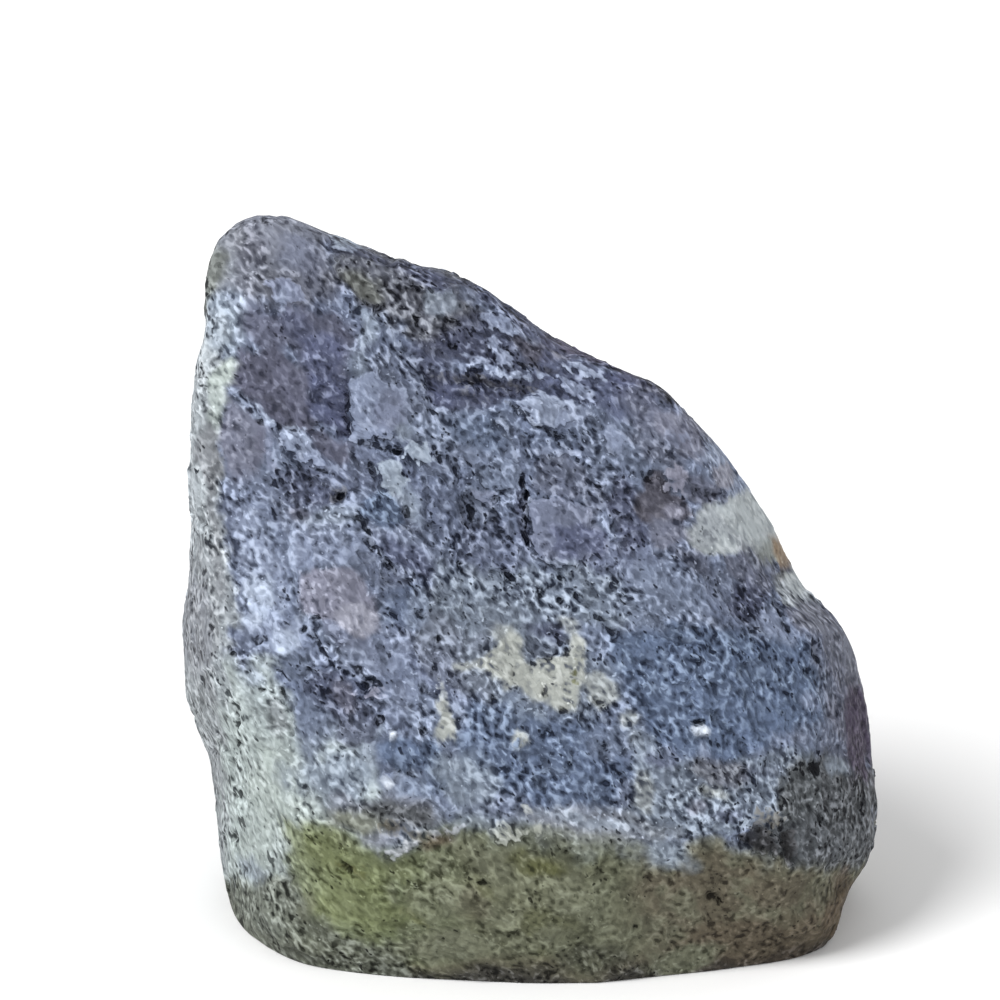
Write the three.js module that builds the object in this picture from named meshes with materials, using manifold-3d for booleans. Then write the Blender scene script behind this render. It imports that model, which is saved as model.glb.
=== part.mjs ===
// A rough piece of raw iolite: one unworked lump of blue-violet cordierite rock, with broken faces, worn edges,
// flakes, hollows and pits. It is one solid. Millimetres, +X to the stone's right, +Y to its back, +Z up. The origin
// lies on the resting plane, under the middle of the stone.
//
// The shape is worked out in four steps. A blank is bounded by broken faces, each a plane through a stated point, and
// its edges are worn round. The blank is then carved to the stone's profile, as it shows from a little above the
// front. Relief follows: flakes, hollows and ledges of the front in their places, and dished scars of broken rock
// all round. Last, the stone is cut flat below, where it rests.
import Module from "manifold-3d";
import * as THREE from "three";
import { ImprovedNoise } from "three/addons/math/ImprovedNoise.js";
import { mergeVertices } from "three/addons/utils/BufferGeometryUtils.js";

const wasm = await Module();
wasm.setup();

// Driving dimensions.
const HALF_SIZE = new THREE.Vector3(34.7, 25, 37); // rough half width, half depth and half height
const CORE = new THREE.Vector3(-3, 0, 28); // a point well inside, which every face is seen from
const FRONT_FOOT_Y = -24; // where the front face's foot meets the resting plane
const PROFILE_ELEVATION = 20; // degrees above the horizontal from which the profile is taken
const EDGE_SHARPNESS = 26; // higher leaves crisper edges between the broken faces
const RIM_DEPTH = [7, 18]; // how far before and behind its rim the profile's small bays and bumps run, and fade out
const MESH_DETAIL = 21; // 20 * (detail + 1)^2 triangles before the underside is cut
const SPREADING_PASSES = 80; // rounds of evening out the mesh before it is carved
const FRONT_PULL = 0.5; // how much closer the mesh is drawn together where it faces the front
const WEAR = 0.35; // how far each point is worn back towards the middle of its neighbours

// The broken faces: heading is 0 at the front, 90 at the right and 180 at the back, tilt is degrees above the
// horizontal, and the plane goes through the point.
const FACES = [
  { name: "main face, foot", heading: 4, tilt: 23, through: [0, -25.4, 18.5] },
  { name: "main face, middle", heading: -2, tilt: 30, through: [0, -19, 27] },
  { name: "main face, upper part", heading: 5, tilt: 34, through: [-12, -4, 54] },
  { name: "main face, towards the left edge", heading: -20, tilt: 24, through: [-28, -9.5, 38] },
  { name: "main face, towards the right edge", heading: 24, tilt: 30, through: [19, -12, 38] },
  { name: "slope below the top right edge", heading: 36, tilt: 55, through: [5, -2.5, 60] },
  { name: "front foot, left", heading: -17, tilt: -12, through: [-14, -24.8, 12] },
  { name: "front foot, right", heading: 9, tilt: -13, through: [12, -25.5, 13] },
  { name: "front left corner", heading: -60, tilt: -8, through: [-26.2, -15.0, 2] },
  { name: "front left corner, foot", heading: -40, tilt: -16, through: [-22.4, -21.2, 1] },
  { name: "front right corner", heading: 48, tilt: -16, through: [28.3, -19.0, 6] },
  { name: "left side, upper front", heading: -78, tilt: 4, through: [-33, -2, 52] },
  { name: "left side, middle front", heading: -72, tilt: -3, through: [-33.4, -8, 31] },
  { name: "left side, foot", heading: -84, tilt: -12, through: [-31.5, -4, 12] },
  { name: "left side, back", heading: -114, tilt: 7, through: [-33, 7, 34] },
  { name: "right side, front", heading: 68, tilt: 5, through: [33.5, -10, 20] },
  { name: "right side, back", heading: 106, tilt: 2, through: [33.5, 6, 18] },
  { name: "right side, shoulder", heading: 72, tilt: 26, through: [31, -5, 34] },
  { name: "right side, foot", heading: 88, tilt: -26, through: [32, -2, 5] },
  { name: "right slope, front", heading: 68, tilt: 34, through: [20, -4, 49] },
  { name: "right slope, back", heading: 120, tilt: 42, through: [20, 9, 46] },
  { name: "top right edge", heading: 98, tilt: 60, through: [2, 6, 64] },
  { name: "top right edge, back", heading: 148, tilt: 50, through: [0, 15, 60] },
  { name: "top ridge", heading: 110, tilt: 72, through: [-16, 9, 69] },
  { name: "tip, left", heading: -92, tilt: 42, through: [-31, 10, 67] },
  { name: "tip, front", heading: -26, tilt: 58, through: [-27, 3.5, 68] },
  { name: "tip, back", heading: -160, tilt: 30, through: [-26, 19, 61] },
  { name: "back, upper", heading: 164, tilt: 17, through: [-4, 23, 46] },
  { name: "back, middle", heading: -172, tilt: 2, through: [-6, 26.5, 24] },
  { name: "back, right", heading: 134, tilt: 22, through: [19, 18, 30] },
  { name: "back, left", heading: -150, tilt: 8, through: [-24, 19, 34] },
  { name: "back, foot", heading: 170, tilt: -18, through: [4, 26, 6] },
  { name: "back, left foot", heading: -128, tilt: -18, through: [-27, 15, 6] },
  { name: "back, right foot", heading: 128, tilt: -10, through: [27, 15, 6] },
  { name: "underside", heading: 0, tilt: -90, through: [0, 0, -3.6] },
];

// The profile, in millimetres across and up, on a plane square to the line of sight. Its zero is below the middle of
// the stone, level with the front foot. It runs on a little below the resting plane, where the stone is cut.
const PROFILE = [
  [-28.3, 76.5], [-31.7, 73.0], [-32.5, 68.0], [-32.1, 65.0], [-33.0, 62.0], [-33.9, 50.0], [-33.7, 46.5],
  [-34.0, 41.0], [-34.8, 34.5], [-33.8, 26.0], [-32.3, 22.5], [-30.0, 6.3], [-28.3, 3.4], [-19.4, -1.6],
  [-12.8, -2.6], [1.2, -2.2], [9.2, -2.3], [14.2, -2.6], [23.6, -0.8], [28.0, 1.4], [30.6, 4.0],
  [32.0, 8.5], [34.5, 12.4], [34.2, 26.0], [31.6, 34.9], [28.0, 38.8], [26.0, 42.5], [25.3, 44.5],
  [17.4, 55.2], [15.3, 57.1], [14.0, 58.7], [2.2, 64.6], [-7.3, 70.8], [-11.3, 71.6], [-20.8, 75.3],
  [-24.2, 76.6],
];

// Relief of the front, placed by its middle across and up on the profile plane. A flake stands proud and a hollow
// lies deep by its height, over its half width and half height. It is highest towards its steep side, an angle
// counterclockwise from the right, where it ends in a ledge, and it runs out flat on the other side.
const RELIEF = [
  { name: "violet hollow under the tip", at: [-23.6, 58.5], size: [6.0, 7.5], height: -0.9, steep: 0 },
  { name: "lilac flake", at: [-14.4, 58.0], size: [4.4, 5.2], height: 0.9, steep: 190 },
  { name: "nub below the tip", at: [-25.2, 68.6], size: [3.6, 2.8], height: 0.7, steep: 270 },
  { name: "pale flake beside the vein", at: [-22.8, 52.6], size: [3.0, 2.4], height: 0.6, steep: 60 },
  { name: "pale green flake", at: [-13.4, 50.8], size: [2.6, 3.0], height: 0.7, steep: 150 },
  { name: "dark step below the top edge", at: [-8.0, 64.0], size: [7.0, 4.0], height: -0.7, steep: 230 },
  { name: "flake below the top right edge", at: [2.2, 56.2], size: [4.2, 2.6], height: 0.8, steep: 220 },
  { name: "ledge at the top right edge", at: [10.5, 58.8], size: [4.6, 2.2], height: 0.8, steep: 330 },
  { name: "violet flake in the middle", at: [4.2, 47.4], size: [4.8, 6.2], height: 1.0, steep: 180 },
  { name: "dark hollow in the middle", at: [-4.4, 45.8], size: [4.8, 5.4], height: -0.8, steep: 10 },
  { name: "blue flake left of the middle", at: [-11.6, 42.4], size: [4.0, 3.6], height: 0.7, steep: 200 },
  { name: "pink flake", at: [-18.6, 38.4], size: [4.6, 4.2], height: 0.7, steep: 165 },
  { name: "dark hollow under the pink flake", at: [-18.4, 27.4], size: [4.4, 4.6], height: -0.8, steep: 60 },
  { name: "brown hollow at the right", at: [14.8, 48.2], size: [4.4, 3.6], height: -0.6, steep: 120 },
  { name: "quartz hollow at the right edge", at: [21.0, 43.4], size: [5.6, 4.8], height: -0.6, steep: 220 },
  { name: "shoulder of the right edge", at: [28.6, 32.6], size: [4.2, 4.6], height: 0.8, steep: 70 },
  { name: "cream patch", at: [2.4, 29.6], size: [6.2, 3.8], height: 0.5, steep: 250 },
  { name: "blue swell", at: [14.5, 29.0], size: [7.5, 6.0], height: 0.7, steep: 300 },
  { name: "hollow above the foot, right", at: [26.0, 17.0], size: [5.4, 4.6], height: -0.9, steep: 320 },
  { name: "ledge above the foot, left", at: [-10.0, 15.4], size: [6.5, 2.4], height: 0.8, steep: 265 },
  { name: "hollow of the foot, left", at: [-20.0, 10.5], size: [6.0, 4.0], height: -0.5, steep: 130 },
  { name: "swell of the foot, middle", at: [2.0, 8.0], size: [8.0, 4.5], height: 0.6, steep: 80 },
  { name: "notch of the foot, right", at: [29.8, 9.0], size: [3.0, 2.2], height: -0.9, steep: 90 },
];

// Scars of broken rock all round: each layer has shallow dishes of one size, which meet in low ridges.
const SCARS = [
  { size: 17, depth: 1.5 },
  { size: 7.5, depth: 0.55 },
];
const SWELLS = { size: 17, height: 0.8 }; // slow waves that keep the broken faces from being dead flat

const degrees = THREE.MathUtils.degToRad;
const { clamp, smoothstep } = THREE.MathUtils;
const rise = Math.sin(degrees(PROFILE_ELEVATION));
const level = Math.cos(degrees(PROFILE_ELEVATION));
const across = new THREE.Vector3(1, 0, 0); // the profile plane's two directions, and the line of sight
const up = new THREE.Vector3(0, rise, level);
const sight = new THREE.Vector3(0, -level, rise);
const profileZero = new THREE.Vector3(0, FRONT_FOOT_Y, 0);

/** A face as a plane: its outward normal over its distance from the core. */
function planeOf({ heading, tilt, through }) {
  const h = degrees(heading);
  const t = degrees(tilt);
  const normal = new THREE.Vector3(Math.sin(h) * Math.cos(t), -Math.cos(h) * Math.cos(t), Math.sin(t));
  const distance = new THREE.Vector3(...through).sub(CORE).dot(normal);
  return normal.divideScalar(distance);
}
const planes = FACES.map(planeOf);

/** How far the worn blank reaches from the core in a direction. */
function blankReach(direction) {
  let sum = 0;
  for (const plane of planes) sum += Math.max(0, plane.dot(direction)) ** EDGE_SHARPNESS;
  return sum ** (-1 / EDGE_SHARPNESS);
}

/** Where a point shows on the profile plane: across and up from the plane's zero. */
function onProfile(point) {
  const offset = point.clone().sub(profileZero);
  return [offset.dot(across), offset.dot(up)];
}
const coreOnProfile = onProfile(CORE);

const wrapped = (angle) => Math.atan2(Math.sin(angle), Math.cos(angle));

/** A value that is worked out once at each of many angles round the line of sight, and blended between them. */
function allRound(valueAt) {
  const STEPS = 720;
  const values = Array.from({ length: STEPS }, (_, step) => valueAt((step / STEPS) * 2 * Math.PI));
  return (angle) => {
    const place = ((wrapped(angle) / (2 * Math.PI) + 1) % 1) * STEPS;
    const step = Math.floor(place);
    return THREE.MathUtils.lerp(values[step % STEPS], values[(step + 1) % STEPS], place - step);
  };
}

/** How far the profile reaches from the core. */
const profileReach = (() => {
  const points = PROFILE.map(([u, v]) => new THREE.Vector3(u - coreOnProfile[0], v - coreOnProfile[1], 0));
  const smooth = new THREE.CatmullRomCurve3(points, true, "centripetal").getPoints(720);
  const samples = smooth.map((p) => [Math.atan2(p.y, p.x), Math.hypot(p.x, p.y)]).sort((a, b) => a[0] - b[0]);
  return allRound((angle) => {
    const next = samples.findIndex((s) => s[0] >= wrapped(angle));
    const [a0, r0] = samples.at(next - 1);
    const [a1, r1] = samples.at(Math.max(next, 0));
    const share = next > 0 && a1 > a0 ? (wrapped(angle) - a0) / (a1 - a0) : 0;
    return r0 + (r1 - r0) * share;
  });
})();

/** The profile without its small bays and bumps, which lies just inside it. */
const plainReach = (() => {
  const nearby = (reach, width) =>
    Array.from({ length: 9 }, (_, i) => i / 4 - 1).map((share) => (angle) => reach(angle + share * degrees(width)));
  const inside = nearby(profileReach, 6);
  const lowest = allRound((angle) => Math.min(...inside.map((reach) => reach(angle))));
  const around = nearby(lowest, 9);
  return allRound((angle) => around.reduce((sum, reach) => sum + reach(angle), 0) / around.length);
})();

/** The blank's sections at an angle: how far each reaches sideways, and how far it lies towards the viewer. */
function blankSections(angle) {
  const outward = across.clone().multiplyScalar(Math.cos(angle)).addScaledVector(up, Math.sin(angle));
  return Array.from({ length: 61 }, (_, i) => degrees(2 * i - 60)).map((lean) => {
    const direction = outward.clone().multiplyScalar(Math.cos(lean)).addScaledVector(sight, Math.sin(lean));
    const distance = blankReach(direction);
    return { reach: distance * Math.cos(lean), depth: distance * Math.sin(lean) };
  });
}
const blankProfileReach = allRound((angle) => Math.max(...blankSections(angle).map(({ reach }) => reach)));

/** Where along the line of sight the blank is widest, as a mean that favours its widest sections. */
const rimDepth = allRound((angle) => {
  const widest = blankProfileReach(angle);
  let total = 0;
  let sum = 0;
  for (const { reach, depth } of blankSections(angle)) {
    const weight = Math.exp(reach - widest);
    total += weight;
    sum += weight * depth;
  }
  return sum / total;
});

/** Where a point shows round the line of sight, and how far it lies from the rim along that line, from 0 to 1. */
function roundSight(offset) {
  const u = offset.dot(across);
  const v = offset.dot(up);
  const angle = Math.atan2(v, u);
  const away = smoothstep(Math.abs(offset.dot(sight) - rimDepth(angle)), ...RIM_DEPTH);
  return { u, v, angle, away };
}

/** A point of the blank in a direction from the core, carved to the profile where it lies near the profile. */
function carve(direction) {
  const offset = direction.clone().multiplyScalar(blankReach(direction));
  const { u, v, angle, away } = roundSight(offset);
  const blank = blankProfileReach(angle);
  const wanted = THREE.MathUtils.lerp(profileReach(angle), plainReach(angle), away);
  const nearRim = smoothstep(Math.hypot(u, v) / blank, 0.5, 1);
  const change = nearRim * (wanted / blank - 1);
  offset.addScaledVector(across, u * change).addScaledVector(up, v * change);
  return offset.add(CORE);
}

/** The height of one flake or hollow at a place on the profile plane. */
function flakeHeight({ at, size, height, steep }, u, v) {
  const s = (u - at[0]) / size[0];
  const t = (v - at[1]) / size[1];
  const bearing = Math.atan2(t, s);
  const broken = 1 + 0.16 * Math.sin(3 * bearing + 7 * at[0]) + 0.12 * Math.sin(5 * bearing + 3 * at[1]);
  const distance = Math.hypot(s, t) / broken;
  if (distance >= 1) return 0;
  const towardsSteep = s * Math.cos(degrees(steep)) + t * Math.sin(degrees(steep));
  const ledge = 1 - smoothstep(distance, 0.6, 1);
  return height * ledge * clamp(0.55 + 0.45 * towardsSteep, 0, 1);
}

/** A repeatable number from 0 to 1 for a cell of a layer of scars and a purpose. */
function scatter(i, j, k, purpose) {
  const value = Math.sin(i * 127.1 + j * 311.7 + k * 74.7 + purpose * 53.3) * 43758.5453;
  return value - Math.floor(value);
}

/** How deep a layer's scars lie at a point, from 0 on a ridge between them: each is a dish round its own middle. */
function scarDepth({ size, depth }, point) {
  const cell = point.toArray().map((value) => value / size);
  const [i0, j0, k0] = cell.map(Math.floor);
  let lowest = Infinity;
  for (let i = i0 - 1; i <= i0 + 1; i++)
    for (let j = j0 - 1; j <= j0 + 1; j++)
      for (let k = k0 - 1; k <= k0 + 1; k++) {
        const dx = cell[0] - i - scatter(i, j, k, 0);
        const dy = cell[1] - j - scatter(i, j, k, 1);
        const dz = cell[2] - k - scatter(i, j, k, 2);
        lowest = Math.min(lowest, dx * dx + dy * dy + dz * dz + 0.5 * scatter(i, j, k, 3));
      }
  return depth * (lowest - 0.45);
}

const noise = new ImprovedNoise();

/** How far a point of the carved blank is raised along its outward normal, never out past the profile. */
function relief(point, normal) {
  const { size, height } = SWELLS;
  let raised = height * noise.noise(point.x / size, point.y / size, point.z / size);
  for (const layer of SCARS) raised += scarDepth(layer, point);
  const { u, v, angle, away } = roundSight(point.clone().sub(CORE));
  const facing = smoothstep(normal.dot(sight), 0.1, 0.4);
  for (const flake of RELIEF) raised += facing * flakeHeight(flake, u + coreOnProfile[0], v + coreOnProfile[1]);
  const sideways = Math.sqrt(1 - normal.dot(sight) ** 2);
  const room = Math.max(0, profileReach(angle) - Math.hypot(u, v));
  if (raised > 0) return Math.min(raised, room / sideways);
  return raised * Math.max(away, smoothstep(room, 0, 3));
}

/** Each point's neighbours in a closed triangle mesh. */
function neighboursOf(index, count) {
  const found = Array.from({ length: count }, () => new Set());
  for (let i = 0; i < index.count; i += 3)
    for (let corner = 0; corner < 3; corner++)
      found[index.getX(i + corner)].add(index.getX(i + ((corner + 1) % 3)));
  return found.map((set) => [...set]);
}

/** Points sent out from the core to the blank and spread evenly over it, closer together towards the front. */
function spreadOnBlank(ball) {
  const position = ball.getAttribute("position");
  const onBlank = (direction) => direction.multiplyScalar(blankReach(direction));
  let points = Array.from({ length: position.count }, (_, i) =>
    onBlank(new THREE.Vector3().fromBufferAttribute(position, i).multiply(HALF_SIZE).normalize()),
  );
  const neighbours = neighboursOf(ball.getIndex(), position.count);
  for (let pass = 0; pass < SPREADING_PASSES; pass++) {
    const pulls = points.map((point) => 1 + FRONT_PULL * smoothstep(point.dot(sight) / point.length(), -0.4, 0.6));
    points = neighbours.map((near) => {
      const middle = near.reduce((sum, n) => sum.addScaledVector(points[n], pulls[n]), new THREE.Vector3());
      return onBlank(middle.normalize());
    });
  }
  return points;
}

/** The part of a closed mesh above the resting plane, closed by a flat underside. */
function cutUnderside(geometry) {
  const vertProperties = new Float32Array(geometry.getAttribute("position").array);
  const triVerts = new Uint32Array(geometry.getIndex().array);
  const whole = new wasm.Manifold(new wasm.Mesh({ numProp: 3, vertProperties, triVerts }));
  const mesh = whole.trimByPlane([0, 0, 1], 0).getMesh();
  const cut = new THREE.BufferGeometry();
  cut.setAttribute("position", new THREE.BufferAttribute(mesh.vertProperties, 3));
  cut.setIndex(new THREE.BufferAttribute(mesh.triVerts, 1));
  return cut;
}

/** The stone's closed mesh: a skin of points, carved, raised in relief, worn, cut flat below and centred. */
function buildStone() {
  const ball = new THREE.IcosahedronGeometry(1, MESH_DETAIL);
  ball.deleteAttribute("normal");
  ball.deleteAttribute("uv");
  const skin = mergeVertices(ball, 1e-5);
  const position = skin.getAttribute("position");
  spreadOnBlank(skin).forEach((point, i) => position.setXYZ(i, ...carve(point.normalize())));
  skin.computeVertexNormals();
  const raised = Array.from({ length: position.count }, (_, i) => {
    const point = new THREE.Vector3().fromBufferAttribute(position, i);
    const normal = new THREE.Vector3().fromBufferAttribute(skin.getAttribute("normal"), i);
    return point.addScaledVector(normal, relief(point, normal));
  });
  neighboursOf(skin.getIndex(), position.count).forEach((near, i) => {
    const middle = near.reduce((sum, n) => sum.add(raised[n]), new THREE.Vector3()).divideScalar(near.length);
    position.setXYZ(i, ...raised[i].clone().lerp(middle, WEAR));
  });
  const geometry = cutUnderside(skin);
  geometry.computeBoundingBox();
  const middle = geometry.boundingBox.getCenter(new THREE.Vector3());
  geometry.translate(-middle.x, -middle.y, 0);
  geometry.computeVertexNormals();
  return geometry;
}

const stone = new THREE.Mesh(
  buildStone(),
  new THREE.MeshStandardMaterial({ color: 0x6c7188, roughness: 0.8, metalness: 0, flatShading: true }),
);
stone.name = "iolite_stone";

const group = new THREE.Group();
group.add(stone);
export default group;
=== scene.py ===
"""Raw iolite: the looks of one rough, unworked lump of blue-violet cordierite rock.

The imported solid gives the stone's form. This script lays a fine skin over it and breaks that skin into chips,
flakes, pits, cracks and grain. It maps the minerals that have grown together in the rock: cordierite, quartz,
feldspar, mica and a little iron stain. Lengths are in millimetres in the classes, and in metres in Blender.
"""

from __future__ import annotations

import logging
import math
from collections.abc import Iterator
from copy import copy
from dataclasses import dataclass
from enum import Enum

import bmesh
import bpy
import numpy as np
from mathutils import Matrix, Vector, noise

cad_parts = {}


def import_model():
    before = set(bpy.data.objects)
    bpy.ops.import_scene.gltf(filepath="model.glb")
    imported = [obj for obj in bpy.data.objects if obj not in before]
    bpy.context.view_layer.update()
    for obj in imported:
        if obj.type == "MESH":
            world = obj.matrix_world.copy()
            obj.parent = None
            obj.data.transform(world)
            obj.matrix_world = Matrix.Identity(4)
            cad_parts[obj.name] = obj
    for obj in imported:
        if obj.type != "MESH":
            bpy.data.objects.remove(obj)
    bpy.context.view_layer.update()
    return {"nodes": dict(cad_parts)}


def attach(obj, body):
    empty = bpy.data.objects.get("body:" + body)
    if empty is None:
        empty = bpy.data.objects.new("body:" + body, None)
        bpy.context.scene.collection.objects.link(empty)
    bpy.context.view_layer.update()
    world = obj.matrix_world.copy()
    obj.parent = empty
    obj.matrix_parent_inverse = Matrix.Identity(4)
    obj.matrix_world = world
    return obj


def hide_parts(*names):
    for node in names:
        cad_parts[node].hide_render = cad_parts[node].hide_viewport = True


LOG = logging.getLogger("raw_iolite")
NODE = "iolite_stone"
METRES = 0.001  # one millimetre
DRAW_WEIGHTS = (12.9898, 78.233, 37.719)  # these three and the next two only scramble a cell's place
DRAW_STEP = 7.31
DRAW_SCALE = 43758.5453

Colour = tuple[float, float, float]
Place = tuple[float, float]
Pair = tuple[float, float]
Socket = bpy.types.NodeSocket
Sockets = bpy.types.bpy_prop_collection


def linear(colour: Colour) -> Colour:
    """Turn a colour as it looks on a screen, 0 to 255, into the light it stands for.

    Args:
        colour: red, green and blue, each from 0 to 255.

    Returns:
        Red, green and blue, each from 0 to 1, in linear light.
    """
    shares = (channel / 255 for channel in colour)
    return tuple(s / 12.92 if s <= 0.04045 else ((s + 0.055) / 1.055) ** 2.4 for s in shares)


def smoothstep(low: float, high: float, value: np.ndarray) -> np.ndarray:
    """Ease from 0 at low to 1 at high; low may be the larger one.

    Args:
        low: where the step starts.
        high: where the step ends.
        value: the values to ease.

    Returns:
        The eased values.
    """
    t = np.clip((value - low) / (high - low), 0.0, 1.0)
    return t * t * (3.0 - 2.0 * t)


def lots(middles: np.ndarray, draw: float) -> np.ndarray:
    """Draw a number from 0 to 1 for each cell, the same for all points of one cell.

    Args:
        middles: the middle of the cell that each point is in.
        draw: which draw it is, so that several draws differ.

    Returns:
        The number at each point.
    """
    mixed = middles @ np.array(DRAW_WEIGHTS) + DRAW_STEP * draw
    return np.modf(np.abs(np.sin(mixed) * DRAW_SCALE))[0]


def line_distance(across: np.ndarray, up: np.ndarray, start: Place, end: Place) -> np.ndarray:
    """Give how far points lie from the straight line between two places.

    Args:
        across: how far each point lies across.
        up: how far each point lies up.
        start: where the line starts, across and up.
        end: where it ends.

    Returns:
        The distance of each point, in the same units.
    """
    dx = end[0] - start[0]
    dy = end[1] - start[1]
    share = ((across - start[0]) * dx + (up - start[1]) * dy) / (dx * dx + dy * dy)
    share = np.clip(share, 0.0, 1.0)
    return np.hypot(across - start[0] - share * dx, up - start[1] - share * dy)


@dataclass(frozen=True)
class Finish:
    """How one mineral of the rock looks.

    Attributes:
        ground: its colour between the grains.
        pale: the colour of its pale grains.
        dark: the colour of its dark grains.
        pale_share: how much of it the pale grains cover.
        dark_share: how much of it the dark grains cover.
        roughness: how dull it is.
        grit: how rough it breaks and how strongly its grains stand out, 1 for the roughest.
    """

    ground: Colour
    pale: Colour
    dark: Colour
    pale_share: float
    dark_share: float
    roughness: float = 0.62
    grit: float = 1.0


class Mineral(Enum):
    """The minerals and stains that the rock is made of, with colours as they look on a screen, 0 to 255."""

    IOLITE = Finish((110, 120, 144), (150, 161, 185), (54, 65, 93), 0.28, 0.24)
    STEEL = Finish((118, 129, 151), (149, 160, 183), (80, 91, 118), 0.28, 0.20, 0.6, 0.7)
    DEEP_BLUE = Finish((94, 109, 136), (124, 140, 165), (62, 77, 108), 0.24, 0.22, 0.55, 0.8)
    VIOLET = Finish((97, 99, 118), (118, 121, 140), (78, 81, 102), 0.18, 0.16, 0.5, 0.55)
    INDIGO = Finish((87, 93, 121), (128, 135, 162), (57, 64, 96), 0.20, 0.18, 0.5, 0.75)
    NIGHT = Finish((82, 87, 110), (130, 137, 160), (36, 42, 68), 0.22, 0.28, 0.5, 1.0)
    LILAC = Finish((129, 139, 163), (155, 165, 188), (103, 113, 140), 0.28, 0.16, 0.55, 0.6)
    GREY_LILAC = Finish((115, 122, 144), (138, 145, 167), (92, 99, 122), 0.26, 0.16, 0.55, 0.5)
    PALE_LILAC = Finish((146, 157, 181), (172, 183, 205), (112, 123, 150), 0.30, 0.16, 0.5, 0.6)
    ICE = Finish((188, 201, 224), (204, 216, 236), (140, 154, 181), 0.34, 0.14, 0.5, 0.6)
    QUARTZ = Finish((186, 194, 198), (204, 211, 214), (164, 172, 178), 0.26, 0.14, 0.4, 0.12)
    GREEN_GREY = Finish((150, 162, 178), (172, 184, 199), (124, 136, 154), 0.28, 0.16, 0.55, 0.4)
    CREAM = Finish((164, 168, 163), (182, 186, 182), (112, 119, 130), 0.32, 0.12, 0.6, 0.4)
    SALT = Finish((124, 135, 151), (164, 176, 191), (66, 78, 102), 0.34, 0.28, 0.62, 0.9)
    MICA = Finish((97, 100, 111), (142, 146, 156), (45, 48, 63), 0.28, 0.28, 0.45, 1.0)
    RUST = Finish((86, 85, 97), (122, 121, 133), (54, 54, 70), 0.22, 0.24, 0.6, 0.6)
    ROSE = Finish((132, 133, 150), (158, 160, 177), (110, 113, 134), 0.26, 0.12, 0.55, 0.55)
    PALE_ROSE = Finish((152, 154, 169), (176, 178, 193), (128, 131, 149), 0.26, 0.10, 0.55, 0.4)
    TIP = Finish((124, 128, 141), (156, 160, 173), (98, 102, 118), 0.28, 0.16, 0.58, 0.55)
    SAGE = Finish((176, 184, 190), (198, 205, 210), (92, 100, 112), 0.34, 0.16, 0.6, 0.85)
    MINT = Finish((174, 185, 184), (194, 205, 205), (112, 123, 125), 0.34, 0.14, 0.6, 0.65)
    CHALK = Finish((177, 188, 184), (192, 202, 200), (140, 151, 150), 0.32, 0.12, 0.6, 0.4)
    OLIVE = Finish((116, 124, 88), (133, 141, 106), (84, 90, 52), 0.24, 0.22, 0.62, 0.5)
    GREEN_BROWN = Finish((102, 104, 86), (122, 125, 106), (74, 76, 58), 0.22, 0.22, 0.62, 0.5)
    UMBER = Finish((100, 94, 80), (115, 109, 95), (68, 61, 50), 0.20, 0.22, 0.62, 0.5)
    RED_BROWN = Finish((92, 80, 66), (108, 96, 82), (60, 49, 38), 0.18, 0.22, 0.6, 0.5)
    SLATE = Finish((101, 105, 122), (136, 140, 157), (70, 75, 95), 0.24, 0.20, 0.58, 0.55)
    MAROON = Finish((78, 70, 88), (104, 96, 114), (52, 46, 62), 0.20, 0.22, 0.58, 0.6)
    MAUVE = Finish((123, 126, 144), (150, 153, 170), (94, 97, 118), 0.24, 0.16, 0.56, 0.45)
    HAZE = Finish((137, 149, 165), (164, 176, 191), (98, 110, 131), 0.30, 0.18, 0.6, 0.55)
    ASH = Finish((137, 141, 147), (170, 174, 180), (98, 102, 111), 0.30, 0.18, 0.6, 0.6)
    BIOTITE = Finish((89, 92, 92), (126, 129, 132), (42, 44, 49), 0.26, 0.30, 0.5, 1.0)
    CHAR = Finish((52, 51, 53), (92, 92, 96), (27, 27, 30), 0.14, 0.30, 0.5, 1.0)
    IRON = Finish((162, 134, 102), (176, 158, 132), (122, 88, 60), 0.20, 0.15, 0.6, 0.6)
    MOSS = Finish((84, 86, 50), (106, 108, 78), (54, 57, 26), 0.18, 0.22, 0.62, 0.5)
    GRAVEL = Finish((102, 106, 95), (134, 139, 130), (48, 52, 40), 0.30, 0.28, 0.62, 0.8)
    MOULD = Finish((119, 122, 103), (133, 137, 119), (86, 89, 70), 0.24, 0.18, 0.62, 0.5)
    WHITE = Finish((210, 219, 232), (236, 241, 248), (176, 186, 202), 0.40, 0.0, 0.3, 0.4)
    PIT = Finish((26, 30, 48), (54, 60, 84), (14, 17, 30), 0.10, 0.30, 0.7, 0.8)


@dataclass(frozen=True)
class Patch:
    """A round place on the front where one mineral shows, as it is seen square to the line of sight.

    Attributes:
        mineral: what shows there.
        at: its middle, across and up, in millimetres.
        size: its half width and half height, in millimetres.
        turn: how far it is turned, in degrees counterclockwise.
        strength: how fully it covers what lies under it.
        blur: how wide its edge is, in millimetres.
        lift: how far it stands proud of the rock, or lies deep when below zero, in millimetres.
        high_side: the direction of the side that is lifted most, in degrees; none lifts it all over.
    """

    mineral: Mineral
    at: Place
    size: tuple[float, float]
    turn: float = 0.0
    strength: float = 0.9
    blur: float = 0.8
    lift: float = 0.0
    high_side: float | None = None

    @property
    def reach(self) -> float:
        """The distance from its middle to its far end."""
        return max(self.size)

    def depth(self, field: "FrontField") -> np.ndarray:
        """Give how far inside the patch each point lies, in millimetres, below 0 outside."""
        along, beside = field.turned(self.at, self.turn)
        small = min(self.size)
        depth = small * (1.0 - np.hypot(along / self.size[0], beside / self.size[1]))
        return depth + min(0.4 * small, 0.25 + 0.6 * self.blur) * field.jag


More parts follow.
